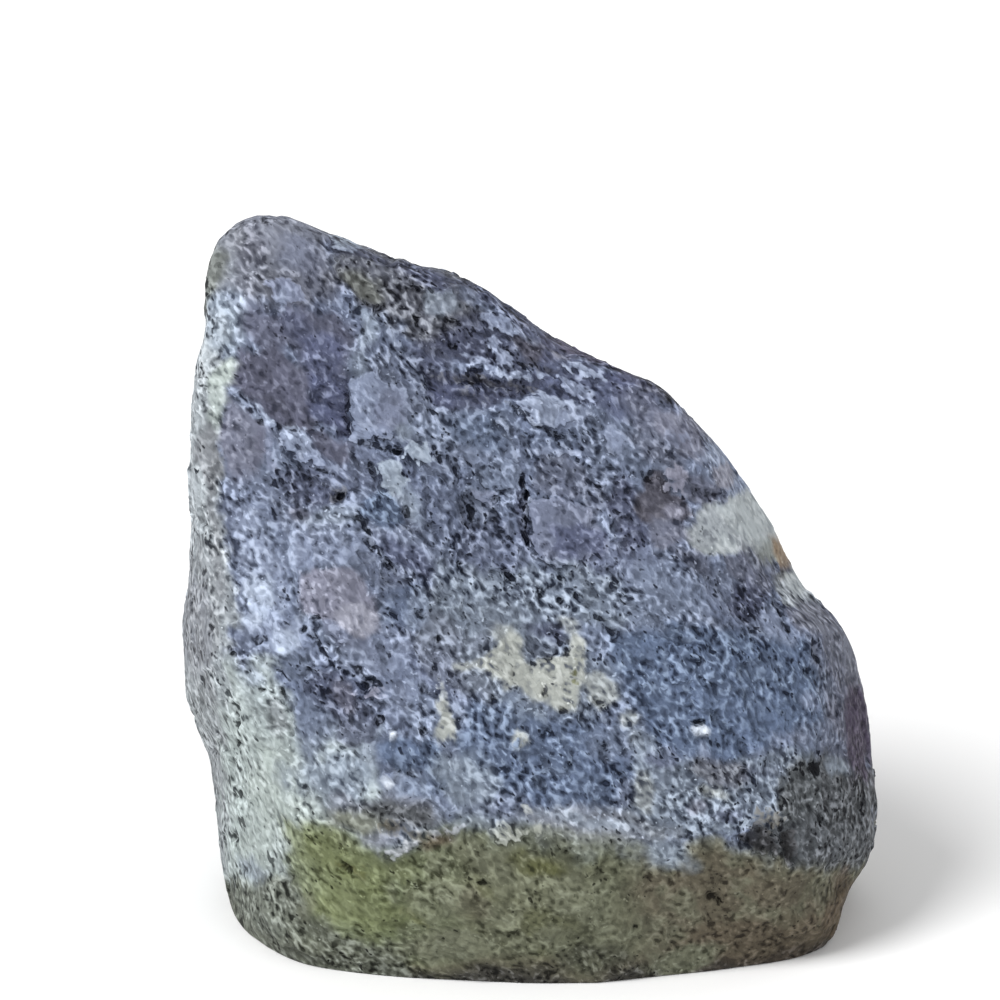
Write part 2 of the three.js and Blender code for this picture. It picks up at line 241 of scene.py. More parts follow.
@dataclass(frozen=True)
class Flake:
    """A flake with a broken outline on the front; what it shares with a patch means the same."""

    name: str
    mineral: Mineral
    outline: tuple[Place, ...]
    strength: float = 0.9
    blur: float = 0.8
    lift: float = 0.0
    high_side: float | None = None

    @property
    def at(self) -> Place:
        """The middle of its outline."""
        across, up = zip(*self.outline)
        return (max(across) + min(across)) / 2, (max(up) + min(up)) / 2

    @property
    def reach(self) -> float:
        """The distance from its middle to its far end."""
        across, up = zip(*self.outline)
        return max(max(across) - min(across), max(up) - min(up)) / 2

    def depth(self, field: "FrontField") -> np.ndarray:
        """Give how far inside the flake each point lies, in millimetres, below 0 outside."""
        margin = 1.5 + 1.5 * self.blur
        away = np.maximum(abs(field.across - self.at[0]), abs(field.up - self.at[1])) - self.reach
        near = away < margin
        across = field.across[near]
        up = field.up[near]
        inside = np.zeros(len(across), bool)
        distance = np.full(len(across), np.inf)
        for (x0, y0), (x1, y1) in zip(self.outline, self.outline[1:] + self.outline[:1]):
            distance = np.minimum(distance, line_distance(across, up, (x0, y0), (x1, y1)))
            crossed = (y0 > up) != (y1 > up)
            inside ^= crossed & (across < (x1 - x0) * (up - y0) / (y1 - y0 + 1e-9) + x0)
        depth = np.full(len(field.across), -margin)
        depth[near] = np.where(inside, distance, -distance) + (0.2 + 0.7 * self.blur) * field.jag[near]
        return depth


UPPER_PATCHES = (
    Flake("tip", Mineral.TIP, ((-34, 67.6), (-30.4, 68.8), (-27.6, 68.6), (-26, 67.4), (-22.6, 67.4),
        (-19.4, 69.2), (-19.4, 76), (-25, 79), (-34, 77)), 0.95, 1.6),
    Patch(Mineral.SAGE, (-30.6, 72.4), (1.6, 4.4), -14, 0.3, 1.6),
    Patch(Mineral.GRAVEL, (-32, 70.4), (1.4, 4.4), -6, 0.7, 1),
    Patch(Mineral.GREY_LILAC, (-22.6, 72.6), (2.6, 2.4), -34, 0.6, 1.6),
    Patch(Mineral.RUST, (-28.6, 73.6), (2.6, 1.6), -40, 0.35, 1.4),
    Patch(Mineral.SLATE, (-20.8, 70.2), (2.8, 2.4), -40, 0.6, 1.4),
    Patch(Mineral.HAZE, (-29.8, 65.6), (1.6, 3.4), -4, 0.9, 1.2),
    Patch(Mineral.ICE, (-29.4, 68), (0.6, 0.7), 0, 0.8, 0.4),
    Patch(Mineral.ICE, (-29.3, 64.3), (0.45, 1), -20, 0.8, 0.4),
    Flake("violet under tip", Mineral.VIOLET, ((-28.6, 67.4), (-25.4, 67.2), (-22.6, 67.4), (-18.8, 66.8),
        (-17.6, 63.6), (-18.2, 60.4), (-21.8, 60.8), (-23.2, 62.6), (-27.8, 62.8), (-28.8, 65)), 0.85, 1.4),
    Patch(Mineral.INDIGO, (-20.6, 62.8), (2.4, 1.8), -20, 0.85, 1.2),
    Patch(Mineral.INDIGO, (-23.2, 65.4), (1.8, 1.4), -40, 0.6, 1.2),
    Flake("violet face", Mineral.VIOLET, ((-29.9, 59.6), (-29.5, 61.4), (-28.4, 63), (-25.2, 63.2),
        (-22.6, 61.6), (-21.4, 58.6), (-21.4, 55.6), (-24.4, 54.9), (-26.2, 56.2), (-28.2, 57.8)),
        1, 0.9, -0.1),
    Flake("indigo left of step", Mineral.INDIGO, ((-21.8, 60.6), (-18.3, 60.4), (-17.9, 58), (-17.5, 55.5),
        (-17.3, 54.1), (-18.6, 54.2), (-20.2, 55.6), (-21.8, 56.8)), 1, 0.7, -0.3, 0),
    Flake("violet face, below vein", Mineral.MAUVE, ((-30.4, 58.6), (-28, 56.6), (-26.4, 55.2), (-26.5, 52.8),
        (-26.8, 50.4), (-29, 49.6), (-30.7, 51.4), (-30.9, 55.4)), 0.9, 0.9),
    Patch(Mineral.SLATE, (-28.6, 54.2), (1.4, 2.4), 0, 0.5, 1.2),
    Patch(Mineral.VIOLET, (-26.9, 53.6), (0.5, 1.5), 6, 0.7, 0.4),
    Flake("violet under pale flake", Mineral.VIOLET, ((-22.5, 55.3), (-19, 54.2), (-17.4, 53.7), (-17.6, 52),
        (-19, 51), (-20.6, 52.4)), 0.9, 0.7),
    Flake("pale facet under tip", Mineral.GREY_LILAC, ((-26.6, 70.1), (-24.6, 70.2), (-23, 69), (-22.5, 67.9),
        (-24, 67.6), (-25, 66.8), (-25.9, 67.8), (-25.9, 69)), 1, 0.3, 0.25, 90),
    Patch(Mineral.PALE_LILAC, (-25, 68), (0.7, 1), -10, 0.5, 0.5),
    Flake("mica zone along top", Mineral.MICA, ((-19.6, 75.4), (-10, 72), (-4.8, 70.4), (-4.8, 66.6),
        (-5.4, 63.8), (-9, 62.8), (-12.6, 65.2), (-14.4, 66.4), (-17.2, 67.4), (-19.8, 70.8)),
        0.95, 1.2, -0.1),
    Flake("grey facet in mica", Mineral.GREEN_GREY, ((-10.5, 69.2), (-8, 69), (-6.8, 67.4), (-8.4, 66.2),
        (-10.4, 66.8)), 0.5, 0.5, 0.2, 90),
    Flake("grey flakes on rim", Mineral.GREEN_GREY, ((-19.8, 74.4), (-17.8, 73.9), (-16.9, 73.2),
        (-17.6, 72.7), (-19.2, 73.2)), 0.8, 0.4, 0.2, 90),
    Patch(Mineral.GREEN_BROWN, (-16.4, 69.4), (2.6, 1.4), -36, 0.5, 1),
    Patch(Mineral.NIGHT, (-6.2, 63.2), (3, 1.4), -24, 0.8, 0.9, -0.2),
    Patch(Mineral.NIGHT, (-10.6, 70.4), (2.6, 1.1), -22, 0.9, 0.7, -0.1),
    Flake("green streak under mica", Mineral.GREEN_GREY, ((-17, 67.4), (-15.6, 66.4), (-14.7, 65.4),
        (-15.2, 63.6), (-16.6, 62.6), (-17.5, 63.6), (-16.9, 65.2)), 0.6, 0.5, 0.15),
    Patch(Mineral.GREEN_GREY, (-16.8, 61.8), (0.8, 1.6), 10, 0.45),
    Patch(Mineral.PALE_LILAC, (-13.4, 64.3), (0.5, 0.8), 40, 0.7, 0.4),
    Flake("night blue below mica", Mineral.NIGHT, ((-5.6, 66.8), (-1.4, 65.6), (1.4, 64.4), (1.6, 61.4),
        (-1.6, 60.6), (-5.6, 62), (-10.6, 61.2), (-12.6, 63.6), (-9, 64.2)), 0.8, 1.2),
    Flake("rust brown by rim", Mineral.RUST, ((-1.8, 64.4), (1.2, 64.6), (4.6, 62.8), (2.4, 61.6),
        (-0.4, 61.6)), 0.8, 0.7, -0.1),
    Flake("violet-blue band by rim", Mineral.INDIGO, ((2, 63.2), (8.6, 60.8), (13.4, 58.6), (12.6, 55.4),
        (8.2, 55.8), (5.6, 58), (0.6, 58.6), (0.4, 61.2)), 0.7, 1.2),
    Flake("dark band below rim", Mineral.NIGHT, ((-10.2, 60.8), (-6, 61), (-1.6, 60.4), (2.4, 61.2),
        (2.4, 60.3), (-1.4, 58.4), (-4.6, 56.8), (-8.4, 57.2), (-10, 58.5)), 0.95, 0.8, -0.25),
    Patch(Mineral.CHAR, (-4.4, 59.9), (3.6, 0.4), -6, 0.7, 0.4, -0.2),
    Patch(Mineral.CHAR, (-6.6, 58.9), (1.8, 0.3), -12, 0.6, 0.3, -0.15),
    Patch(Mineral.CHAR, (1.6, 61), (1.6, 0.3), -20, 0.5, 0.3, -0.1),
    Patch(Mineral.INDIGO, (10, 59.2), (2.8, 1.2), -30),
    Patch(Mineral.INDIGO, (-8.6, 58.8), (1.5, 1.3), 10, 0.85, 0.8, -0.15),
    Flake("pale flake on rim", Mineral.LILAC, ((-4.7, 66.7), (-3, 66.5), (-0.8, 65.2), (-1, 64.4),
        (-2.6, 64.6), (-4, 65.6)), 0.95, 0.3, 0.2, 90),
    Flake("pale flake under rim", Mineral.LILAC, ((-4.3, 63.9), (-3.2, 64.3), (-1.9, 62.4), (-2, 61.6),
        (-3.6, 62.1)), 0.8, 0.3, 0.2, 180),
    Patch(Mineral.LILAC, (-5, 61.9), (1.5, 0.35), -30, 0.7, 0.3, 0.15),
    Patch(Mineral.PALE_LILAC, (-1.4, 60.8), (2.4, 0.3), -8, 0.8, 0.3, 0.15),
    Flake("pale streak of rim, upper", Mineral.PALE_LILAC, ((3.3, 61.7), (5, 61.6), (7.5, 60.4), (6.9, 59.9),
        (4.8, 60.5)), 0.85, 0.3, 0.2, 90),
    Flake("pale streak of rim, lower", Mineral.LILAC, ((3, 60.1), (4.6, 59.9), (7, 58.4), (6.6, 57.8),
        (4.2, 58.8)), 0.85, 0.3, 0.2, 90),
    Flake("lilac flake", Mineral.LILAC, ((-18.2, 60), (-15.6, 60.9), (-13.9, 60.2), (-12.4, 59), (-11.6, 57),
        (-12.8, 55.6), (-13.2, 54.2), (-15.5, 54.1), (-17.6, 54), (-17.2, 55.6), (-18, 57.8)),
        0.95, 0.3, 0.4, 200),
    Patch(Mineral.GREY_LILAC, (-13.4, 56.8), (1.8, 2.4), 10, 0.85, 1),
    Patch(Mineral.GREEN_GREY, (-12.4, 54.7), (1.2, 0.9), 0, 0.6, 0.7),
    Patch(Mineral.STEEL, (-9.8, 55), (2.6, 1.6), -8, 0.5, 1.4),
    Patch(Mineral.DEEP_BLUE, (-5, 55), (3, 1.6), -20, 0.5, 1.4),
    Flake("pale flake beside vein", Mineral.LILAC, ((-24.7, 55.1), (-22.9, 54.9), (-21.7, 53.6),
        (-20.3, 51.6), (-21.2, 51.2), (-22.8, 52), (-24.2, 52.8), (-24.9, 54)), 0.95, 0.25, 0.3, 120),
    Patch(Mineral.PALE_LILAC, (-23.2, 53.8), (1.6, 1), -38, 0.9, 0.5),
    Flake("lilac flake by edge", Mineral.PALE_LILAC, ((-1.1, 58), (0.8, 58.4), (3.4, 58.2), (5.6, 57.4),
        (4.4, 55.6), (2.4, 55.4), (0.2, 56), (-1, 57)), 0.9, 0.35, 0.35, 160),
    Flake("lilac flake by edge, tail", Mineral.LILAC, ((3.6, 58), (6.8, 57.2), (6.4, 55.6), (3.8, 55),
        (2.8, 56)), 0.7, 0.6, 0.15),
    Flake("pale blue spot", Mineral.LILAC, ((7.3, 54.5), (8.4, 55.1), (10.2, 53.8), (9, 52.7), (7.6, 53.1)),
        0.8, 0.4, 0.15),
    Patch(Mineral.PALE_LILAC, (-2.2, 55.4), (1.2, 0.42), -48, 0.85, 0.3, 0.2, 120),
    Patch(Mineral.MAROON, (7.4, 62), (8, 0.7), -26, 0.7),
    Patch(Mineral.LILAC, (-6, 68.6), (1.3, 0.9), -36, 0.65, 0.5),
    Patch(Mineral.LILAC, (0.2, 64.8), (1.3, 0.8), -30, 0.5, 0.5),
    Patch(Mineral.CHAR, (12.8, 59.2), (2.4, 0.9), -32, 0.6, 0.7),
    Patch(Mineral.SLATE, (12, 56.4), (3.4, 1.8), -36, 0.7, 1.4),
    Flake("mauve rim at right", Mineral.MAUVE, ((13, 56.8), (16.6, 57), (20, 53.4), (23.4, 49.6),
        (21.6, 48.6), (19.8, 50.4), (17, 51.6), (15, 53.4), (12.8, 55.2)), 0.9, 0.9),
    Patch(Mineral.PALE_LILAC, (19.6, 51), (3.8, 1.5), -50, 0.95),
    Patch(Mineral.PALE_ROSE, (19.6, 50.2), (1.2, 1.1), -50, 0.95, 0.6),
)

MIDDLE_PATCHES = (
    Flake("pale green flake", Mineral.GREEN_GREY, ((-15.4, 51.6), (-13.6, 52.4), (-12.4, 51.6), (-12, 50.2),
        (-12.6, 48.8), (-13.6, 48.2), (-14.8, 49.4)), 0.9, 0.4, 0.35, 150),
    Patch(Mineral.GREEN_GREY, (-11.8, 47.6), (0.8, 2.2), 36, 0.6, 0.6, 0.15),
    Flake("small green flake", Mineral.GREEN_GREY, ((-12.4, 53.2), (-10.4, 53.6), (-9.4, 52.2), (-9.8, 51.2),
        (-11.2, 51.4), (-12.2, 52.4)), 0.8, 0.35, 0.2, 90),
    Patch(Mineral.NIGHT, (-22, 49.2), (3, 1.5), -22, 0.75, 1, -0.25),
    Patch(Mineral.RUST, (-22.6, 46.8), (1, 0.7), 0, 0.6, 0.6),
    Patch(Mineral.CHAR, (-18.9, 48.8), (1.1, 0.6), 26, 0.7, 0.4, -0.2),
    Patch(Mineral.GREEN_GREY, (-19.6, 46.4), (2.4, 1), 10, 0.5, 1),
    Flake("deep blue flake", Mineral.DEEP_BLUE, ((-16.8, 48.2), (-14.6, 48.6), (-13, 47.4), (-12.4, 45.6),
        (-13.8, 44.8), (-15.6, 45.4), (-16.8, 46.6)), 0.9, 0.5, 0.2, 120),
    Patch(Mineral.LILAC, (-12.4, 43.6), (2.2, 1), -30, 0.5, 0.8, 0.15),
    Patch(Mineral.INDIGO, (-12, 42.2), (3.4, 1), -34, 0.7, 0.8, -0.15),
    Flake("pale spots at left", Mineral.PALE_LILAC, ((-28.6, 46), (-27.4, 47.2), (-26.4, 46.2), (-26.8, 45.2),
        (-28.4, 45.2)), 0.6, 0.5, 0.15),
    Patch(Mineral.CHAR, (-5, 47.2), (2, 1.9), -30, 0.3, 1.2, -0.3),
    Patch(Mineral.NIGHT, (-3.8, 42.8), (3.8, 2.8), -40, 0.5, 1.4, -0.25),
    Patch(Mineral.NIGHT, (-0.6, 46.6), (0.7, 3.8), 4, 0.75, 0.7, -0.2),
    Patch(Mineral.DEEP_BLUE, (-12, 37.2), (2.6, 2.2), -30, 0.45, 1.2),
    Flake("grey-blue flake above hollow", Mineral.STEEL, ((-4.8, 51.2), (-3, 52.2), (-1, 51.6), (-0.6, 49.6),
        (-2.2, 48.8), (-4.2, 49.4)), 0.75, 0.4, 0.2, 90),
    Patch(Mineral.GREY_LILAC, (-4.4, 48.4), (0.8, 0.6), 0, 0.8, 0.3, 0.15),
    Patch(Mineral.LILAC, (2.8, 52.8), (2.6, 0.4), 6, 0.8, 0.4, 0.15),
    Flake("brown top of flake", Mineral.SLATE, ((0.4, 51.6), (3, 52.5), (5.8, 52.4), (6.5, 50.4), (5.4, 48.8),
        (4, 48), (1.6, 48.6), (0.4, 49.8)), 0.6, 0.7, 0.1),
    Patch(Mineral.LILAC, (7.2, 50.8), (1.3, 0.8), -20, 0.6, 0.6, 0.1),
    Flake("grey-lilac flake", Mineral.GREY_LILAC, ((0.1, 47.6), (1.6, 48.4), (4.2, 48.2), (6, 47), (7, 45.2),
        (8.2, 43.4), (7.6, 42.2), (5.6, 41.8), (3, 41.4), (1.2, 42.5), (0.2, 44)), 0.95, 0.35, 0.45, 180),
    Flake("violet heart of flake", Mineral.INDIGO, ((2.2, 45.2), (5, 45.7), (8, 44.2), (7.6, 42.3),
        (4.6, 42.1), (2.4, 43.2)), 0.75, 0.7),
    Patch(Mineral.SLATE, (6.8, 47.8), (1.4, 1.8), 0, 0.5, 1),
    Patch(Mineral.NIGHT, (9.8, 46.6), (1.9, 4), 14, 0.9, 1, -0.25),
    Flake("rust patch", Mineral.RUST, ((11.2, 50.4), (13.4, 50.8), (13.9, 49), (15.8, 48.2), (16.5, 46.4),
        (15, 45.2), (12.4, 45.2), (11, 47)), 0.95, 0.5, -0.1),
    Patch(Mineral.CHAR, (12.6, 48), (1.6, 2.4), 0, 0.22, 1),
    Flake("rust patch, right", Mineral.RUST, ((15.4, 50.4), (17.6, 50.6), (19.2, 49.2), (19.5, 48.2),
        (18.6, 47.3), (16.6, 47.6), (15.4, 48.6)), 0.6, 0.7, -0.08),
    Patch(Mineral.SLATE, (12.8, 52.8), (3, 1.5), -34, 0.7, 1.2),
    Flake("pale spot in rust", Mineral.ROSE, ((13.7, 50.8), (15, 51.3), (16.1, 50.2), (15.6, 49.1),
        (14.2, 49.1)), 0.95, 0.4, 0.2),
    Patch(Mineral.ROSE, (14.8, 46.8), (1.1, 0.8), 10, 0.7, 0.5, 0.1),
    Patch(Mineral.GREY_LILAC, (14.8, 54.2), (1, 0.6), -20, 0.8, 0.4, 0.1),
    Flake("quartz at right edge", Mineral.QUARTZ, ((16.4, 46.7), (18.6, 47.2), (20.2, 48.4), (22.6, 49),
        (27.4, 44), (27.6, 42), (24.2, 42), (22.4, 43), (20.4, 42.6), (17.8, 42.4), (16.2, 43.6),
        (15.6, 44.8), (16.6, 45.6)), 0.95, 0.6, -0.1),
    Patch(Mineral.SLATE, (14.2, 44.5), (2.2, 1.5), -20, 1, 0.6),
    Patch(Mineral.TIP, (17.4, 45), (1.6, 2), -20, 0.35, 1.2),
    Patch(Mineral.TIP, (20.6, 44.4), (2, 0.4), -50, 0.3, 0.6),
    Patch(Mineral.TIP, (22.8, 42.4), (1.8, 0.9), -30, 0.6, 0.9),
    Patch(Mineral.GREEN_BROWN, (24.6, 43), (1.2, 1.2), -20, 0.45, 0.9),
    Flake("quartz, tail", Mineral.SAGE, ((24.8, 40.8), (27.6, 41), (30, 37.6), (28.6, 37.2), (25.4, 37.6),
        (24.6, 39)), 0.75, 0.5),
    Patch(Mineral.IRON, (25.5, 43), (0.9, 1.6), 22, 0.75, 0.9),
    Patch(Mineral.RED_BROWN, (26, 40.6), (1, 0.5), 10, 0.5, 0.6),
    Flake("slate below quartz", Mineral.SLATE, ((19.6, 42.3), (21.6, 42.5), (22.7, 41.2), (24.4, 40.6),
        (24.4, 38.6), (21.8, 39.4), (19.8, 40.8)), 0.85, 0.6),
    Patch(Mineral.SLATE, (16.6, 42), (1.8, 0.9), -34, 0.7, 0.7),
    Patch(Mineral.NIGHT, (21.8, 38), (2, 1.9), 10, 0.85, 0.8, -0.15),
    Flake("pale streak at right", Mineral.LILAC, ((23, 37.2), (24.8, 36.9), (26.4, 35), (26.2, 33.8),
        (24.4, 34.4), (23.2, 35.6)), 0.75, 0.5, 0.1),
    Flake("salt grains in middle", Mineral.SALT, ((-8.6, 41), (-4, 40.6), (0, 41.4), (5, 41), (9.6, 40.8),
        (11.4, 38), (9.6, 34.4), (5.6, 35.6), (0, 35), (-6, 34.6), (-9.6, 37)), 0.75, 1.8),
    Patch(Mineral.STEEL, (13.4, 38.2), (4.6, 3), -10, 0.7, 1.6),
    Flake("pale zone at right", Mineral.STEEL, ((10.4, 37.6), (13.4, 38), (14.6, 36), (13, 34.6),
        (10.6, 35.4)), 0.7, 0.9),
    Flake("slate corner at right", Mineral.SLATE, ((25.2, 37.8), (30.4, 37.6), (35, 34), (35, 28), (31.2, 28),
        (30.2, 31), (29.2, 34), (26.8, 35.6))),
    Patch(Mineral.TIP, (28.6, 36.2), (1.8, 1.2), -34, 0.7, 0.9),
    Patch(Mineral.TIP, (31.8, 32.6), (1.1, 4), 34, 0.5),
    Patch(Mineral.QUARTZ, (27.1, 39.7), (1, 1.5), 46, 0.7, 0.7),
)

LEFT_PATCHES = (
    Patch(Mineral.LILAC, (-28.4, 48), (2.6, 3), 0, 0.45, 1.4),
    Patch(Mineral.PALE_LILAC, (-27.8, 44), (2.4, 2.8), 0, 0.6, 1.4),
    Patch(Mineral.PALE_LILAC, (-26.6, 39), (2.6, 6.4), 4, 0.6, 1.6),
    Flake("lilac above rose flake", Mineral.LILAC, ((-23.4, 44.6), (-20, 44.6), (-17, 43.8), (-16.2, 42),
        (-19, 41.4), (-23.2, 41.4)), 0.85, 0.6, 0.1),
    Patch(Mineral.PALE_LILAC, (-20.2, 44.9), (3, 0.6), -4, 0.5, 0.7),
    Flake("rose flake", Mineral.ROSE, ((-22.9, 40.8), (-20.5, 41.6), (-17.5, 41.3), (-16.2, 40.4),
        (-15.3, 38.5), (-14.9, 37), (-15.4, 35.6), (-18, 35.4), (-20, 36.2), (-22.4, 37), (-23.1, 38.6)),
        0.9, 0.6, 0.3, 160),
    Flake("rose flake, tail", Mineral.GREY_LILAC, ((-20.2, 35.8), (-16.5, 35.2), (-14.7, 33), (-15, 30.6),
        (-17, 31.3), (-18.6, 32.8), (-20, 34)), 0.85, 0.6, 0.15),
    Patch(Mineral.PALE_ROSE, (-16.9, 36.3), (2.2, 1.5), -24, 0.95, 0.6),
    Patch(Mineral.PALE_LILAC, (-17.2, 32), (2.2, 1.1), -30, 0.7, 0.6),
    Patch(Mineral.LILAC, (-13.8, 33), (2.2, 2.4), -30, 0.6, 1.2),
    Patch(Mineral.PALE_LILAC, (-23.2, 35), (1.4, 1), -10, 0.6, 0.7),
    Flake("ice blue edge", Mineral.ICE, ((-28.4, 40), (-26.2, 40.2), (-25.6, 38), (-26, 35.8), (-27.4, 35),
        (-28.4, 36)), 0.85),
    Patch(Mineral.ICE, (-24.2, 33.6), (1.6, 1.2), -20, 0.7),
    Flake("pale strip down left edge", Mineral.SAGE, ((-36, 66), (-30.8, 66.6), (-29.7, 64.4), (-30.6, 62.8),
        (-29.3, 61.6), (-29.8, 59.8), (-30.6, 57.4), (-31, 52), (-30.9, 47), (-30.5, 44.4), (-30.1, 41.6),
        (-29.1, 40), (-28.8, 36.4), (-29.6, 33.4), (-36, 33)), 0.85),
    Patch(Mineral.CHALK, (-30.5, 61), (0.9, 1.5), -20, 0.9, 0.5, 0.15),
    Patch(Mineral.CHALK, (-31.3, 57.8), (0.9, 2.8), 0, 0.75),
    Patch(Mineral.ASH, (-31.9, 52.2), (1.4, 3), 0, 0.95, 0.6),
    Patch(Mineral.TIP, (-33.4, 35.6), (1.8, 4.6), 0, 0.7, 1.2),
    Flake("ash edge at lower left", Mineral.ASH, ((-36, 38), (-33.2, 38), (-32.4, 30), (-30.4, 26),
        (-29.8, 18), (-29.6, 10), (-36, 8)), 0.7, 1.6),
    Patch(Mineral.HAZE, (-30.8, 65.4), (1.6, 2.6), 0, 0.7, 1),
    Patch(Mineral.ASH, (-31.6, 46), (0.5, 9), 4, 0.7, 0.7),
    Patch(Mineral.ASH, (-32.8, 37.4), (2.9, 6), 0, 0.55, 1.2),
    Patch(Mineral.ASH, (-31.4, 20.6), (1.4, 4), 0, 0.3, 1),
    Patch(Mineral.PALE_LILAC, (-23.3, 42.3), (0.45, 2), 2, 0.8, 0.5, 0.2),
    Flake("dark pocket under rose flake", Mineral.NIGHT, ((-22, 31.4), (-19.6, 31.2), (-17.4, 29.2),
        (-16, 27.6), (-14.5, 25.8), (-15.6, 24.2), (-17.6, 23), (-19.2, 24), (-19.6, 26.4), (-21, 28.4),
        (-22.6, 30)), 0.65, 0.7, -0.25),
    Patch(Mineral.RUST, (-18.6, 28.4), (1.6, 1), -46, 0.6, 0.7),
    Patch(Mineral.GREY_LILAC, (-18.4, 26), (0.3, 1.3), 34, 0.7, 0.3, 0.15),
    Patch(Mineral.ROSE, (-15.8, 28.9), (1.1, 0.45), 6, 0.85, 0.3, 0.25),
    Patch(Mineral.STEEL, (-23, 31.4), (1.8, 1.4), -10, 0.7, 1),
    Flake("mint at lower left", Mineral.MINT, ((-30.4, 31.6), (-25.6, 32), (-23.8, 28), (-23, 22),
        (-20.6, 18.4), (-20.4, 16.2), (-24, 15.4), (-25.2, 9.6), (-30.4, 8.6)), 0.75, 1.8),
    Patch(Mineral.CHALK, (-25.6, 18.4), (2.6, 4.6), -4, 0.75, 1.8),
    Patch(Mineral.CHALK, (-28, 12.4), (2.2, 2.6), 0, 0.45, 1.4),
    Patch(Mineral.HAZE, (-19.6, 20.4), (4.4, 2.6), -8, 0.8, 1.8),
    Patch(Mineral.STEEL, (-21.6, 25), (1.6, 3), 4, 0.7, 1.2),
    Patch(Mineral.STEEL, (-27.6, 30.6), (1.2, 0.9), -30, 0.5, 0.9),
    Patch(Mineral.ASH, (-25.2, 26.4), (0.9, 1.8), 10, 0.5, 0.9),
    Patch(Mineral.STEEL, (-27.4, 10.6), (2, 1), -30, 0.5, 1.2),
    Patch(Mineral.LILAC, (-13, 28), (1.8, 2.4), -30, 0.5, 1.2),
)

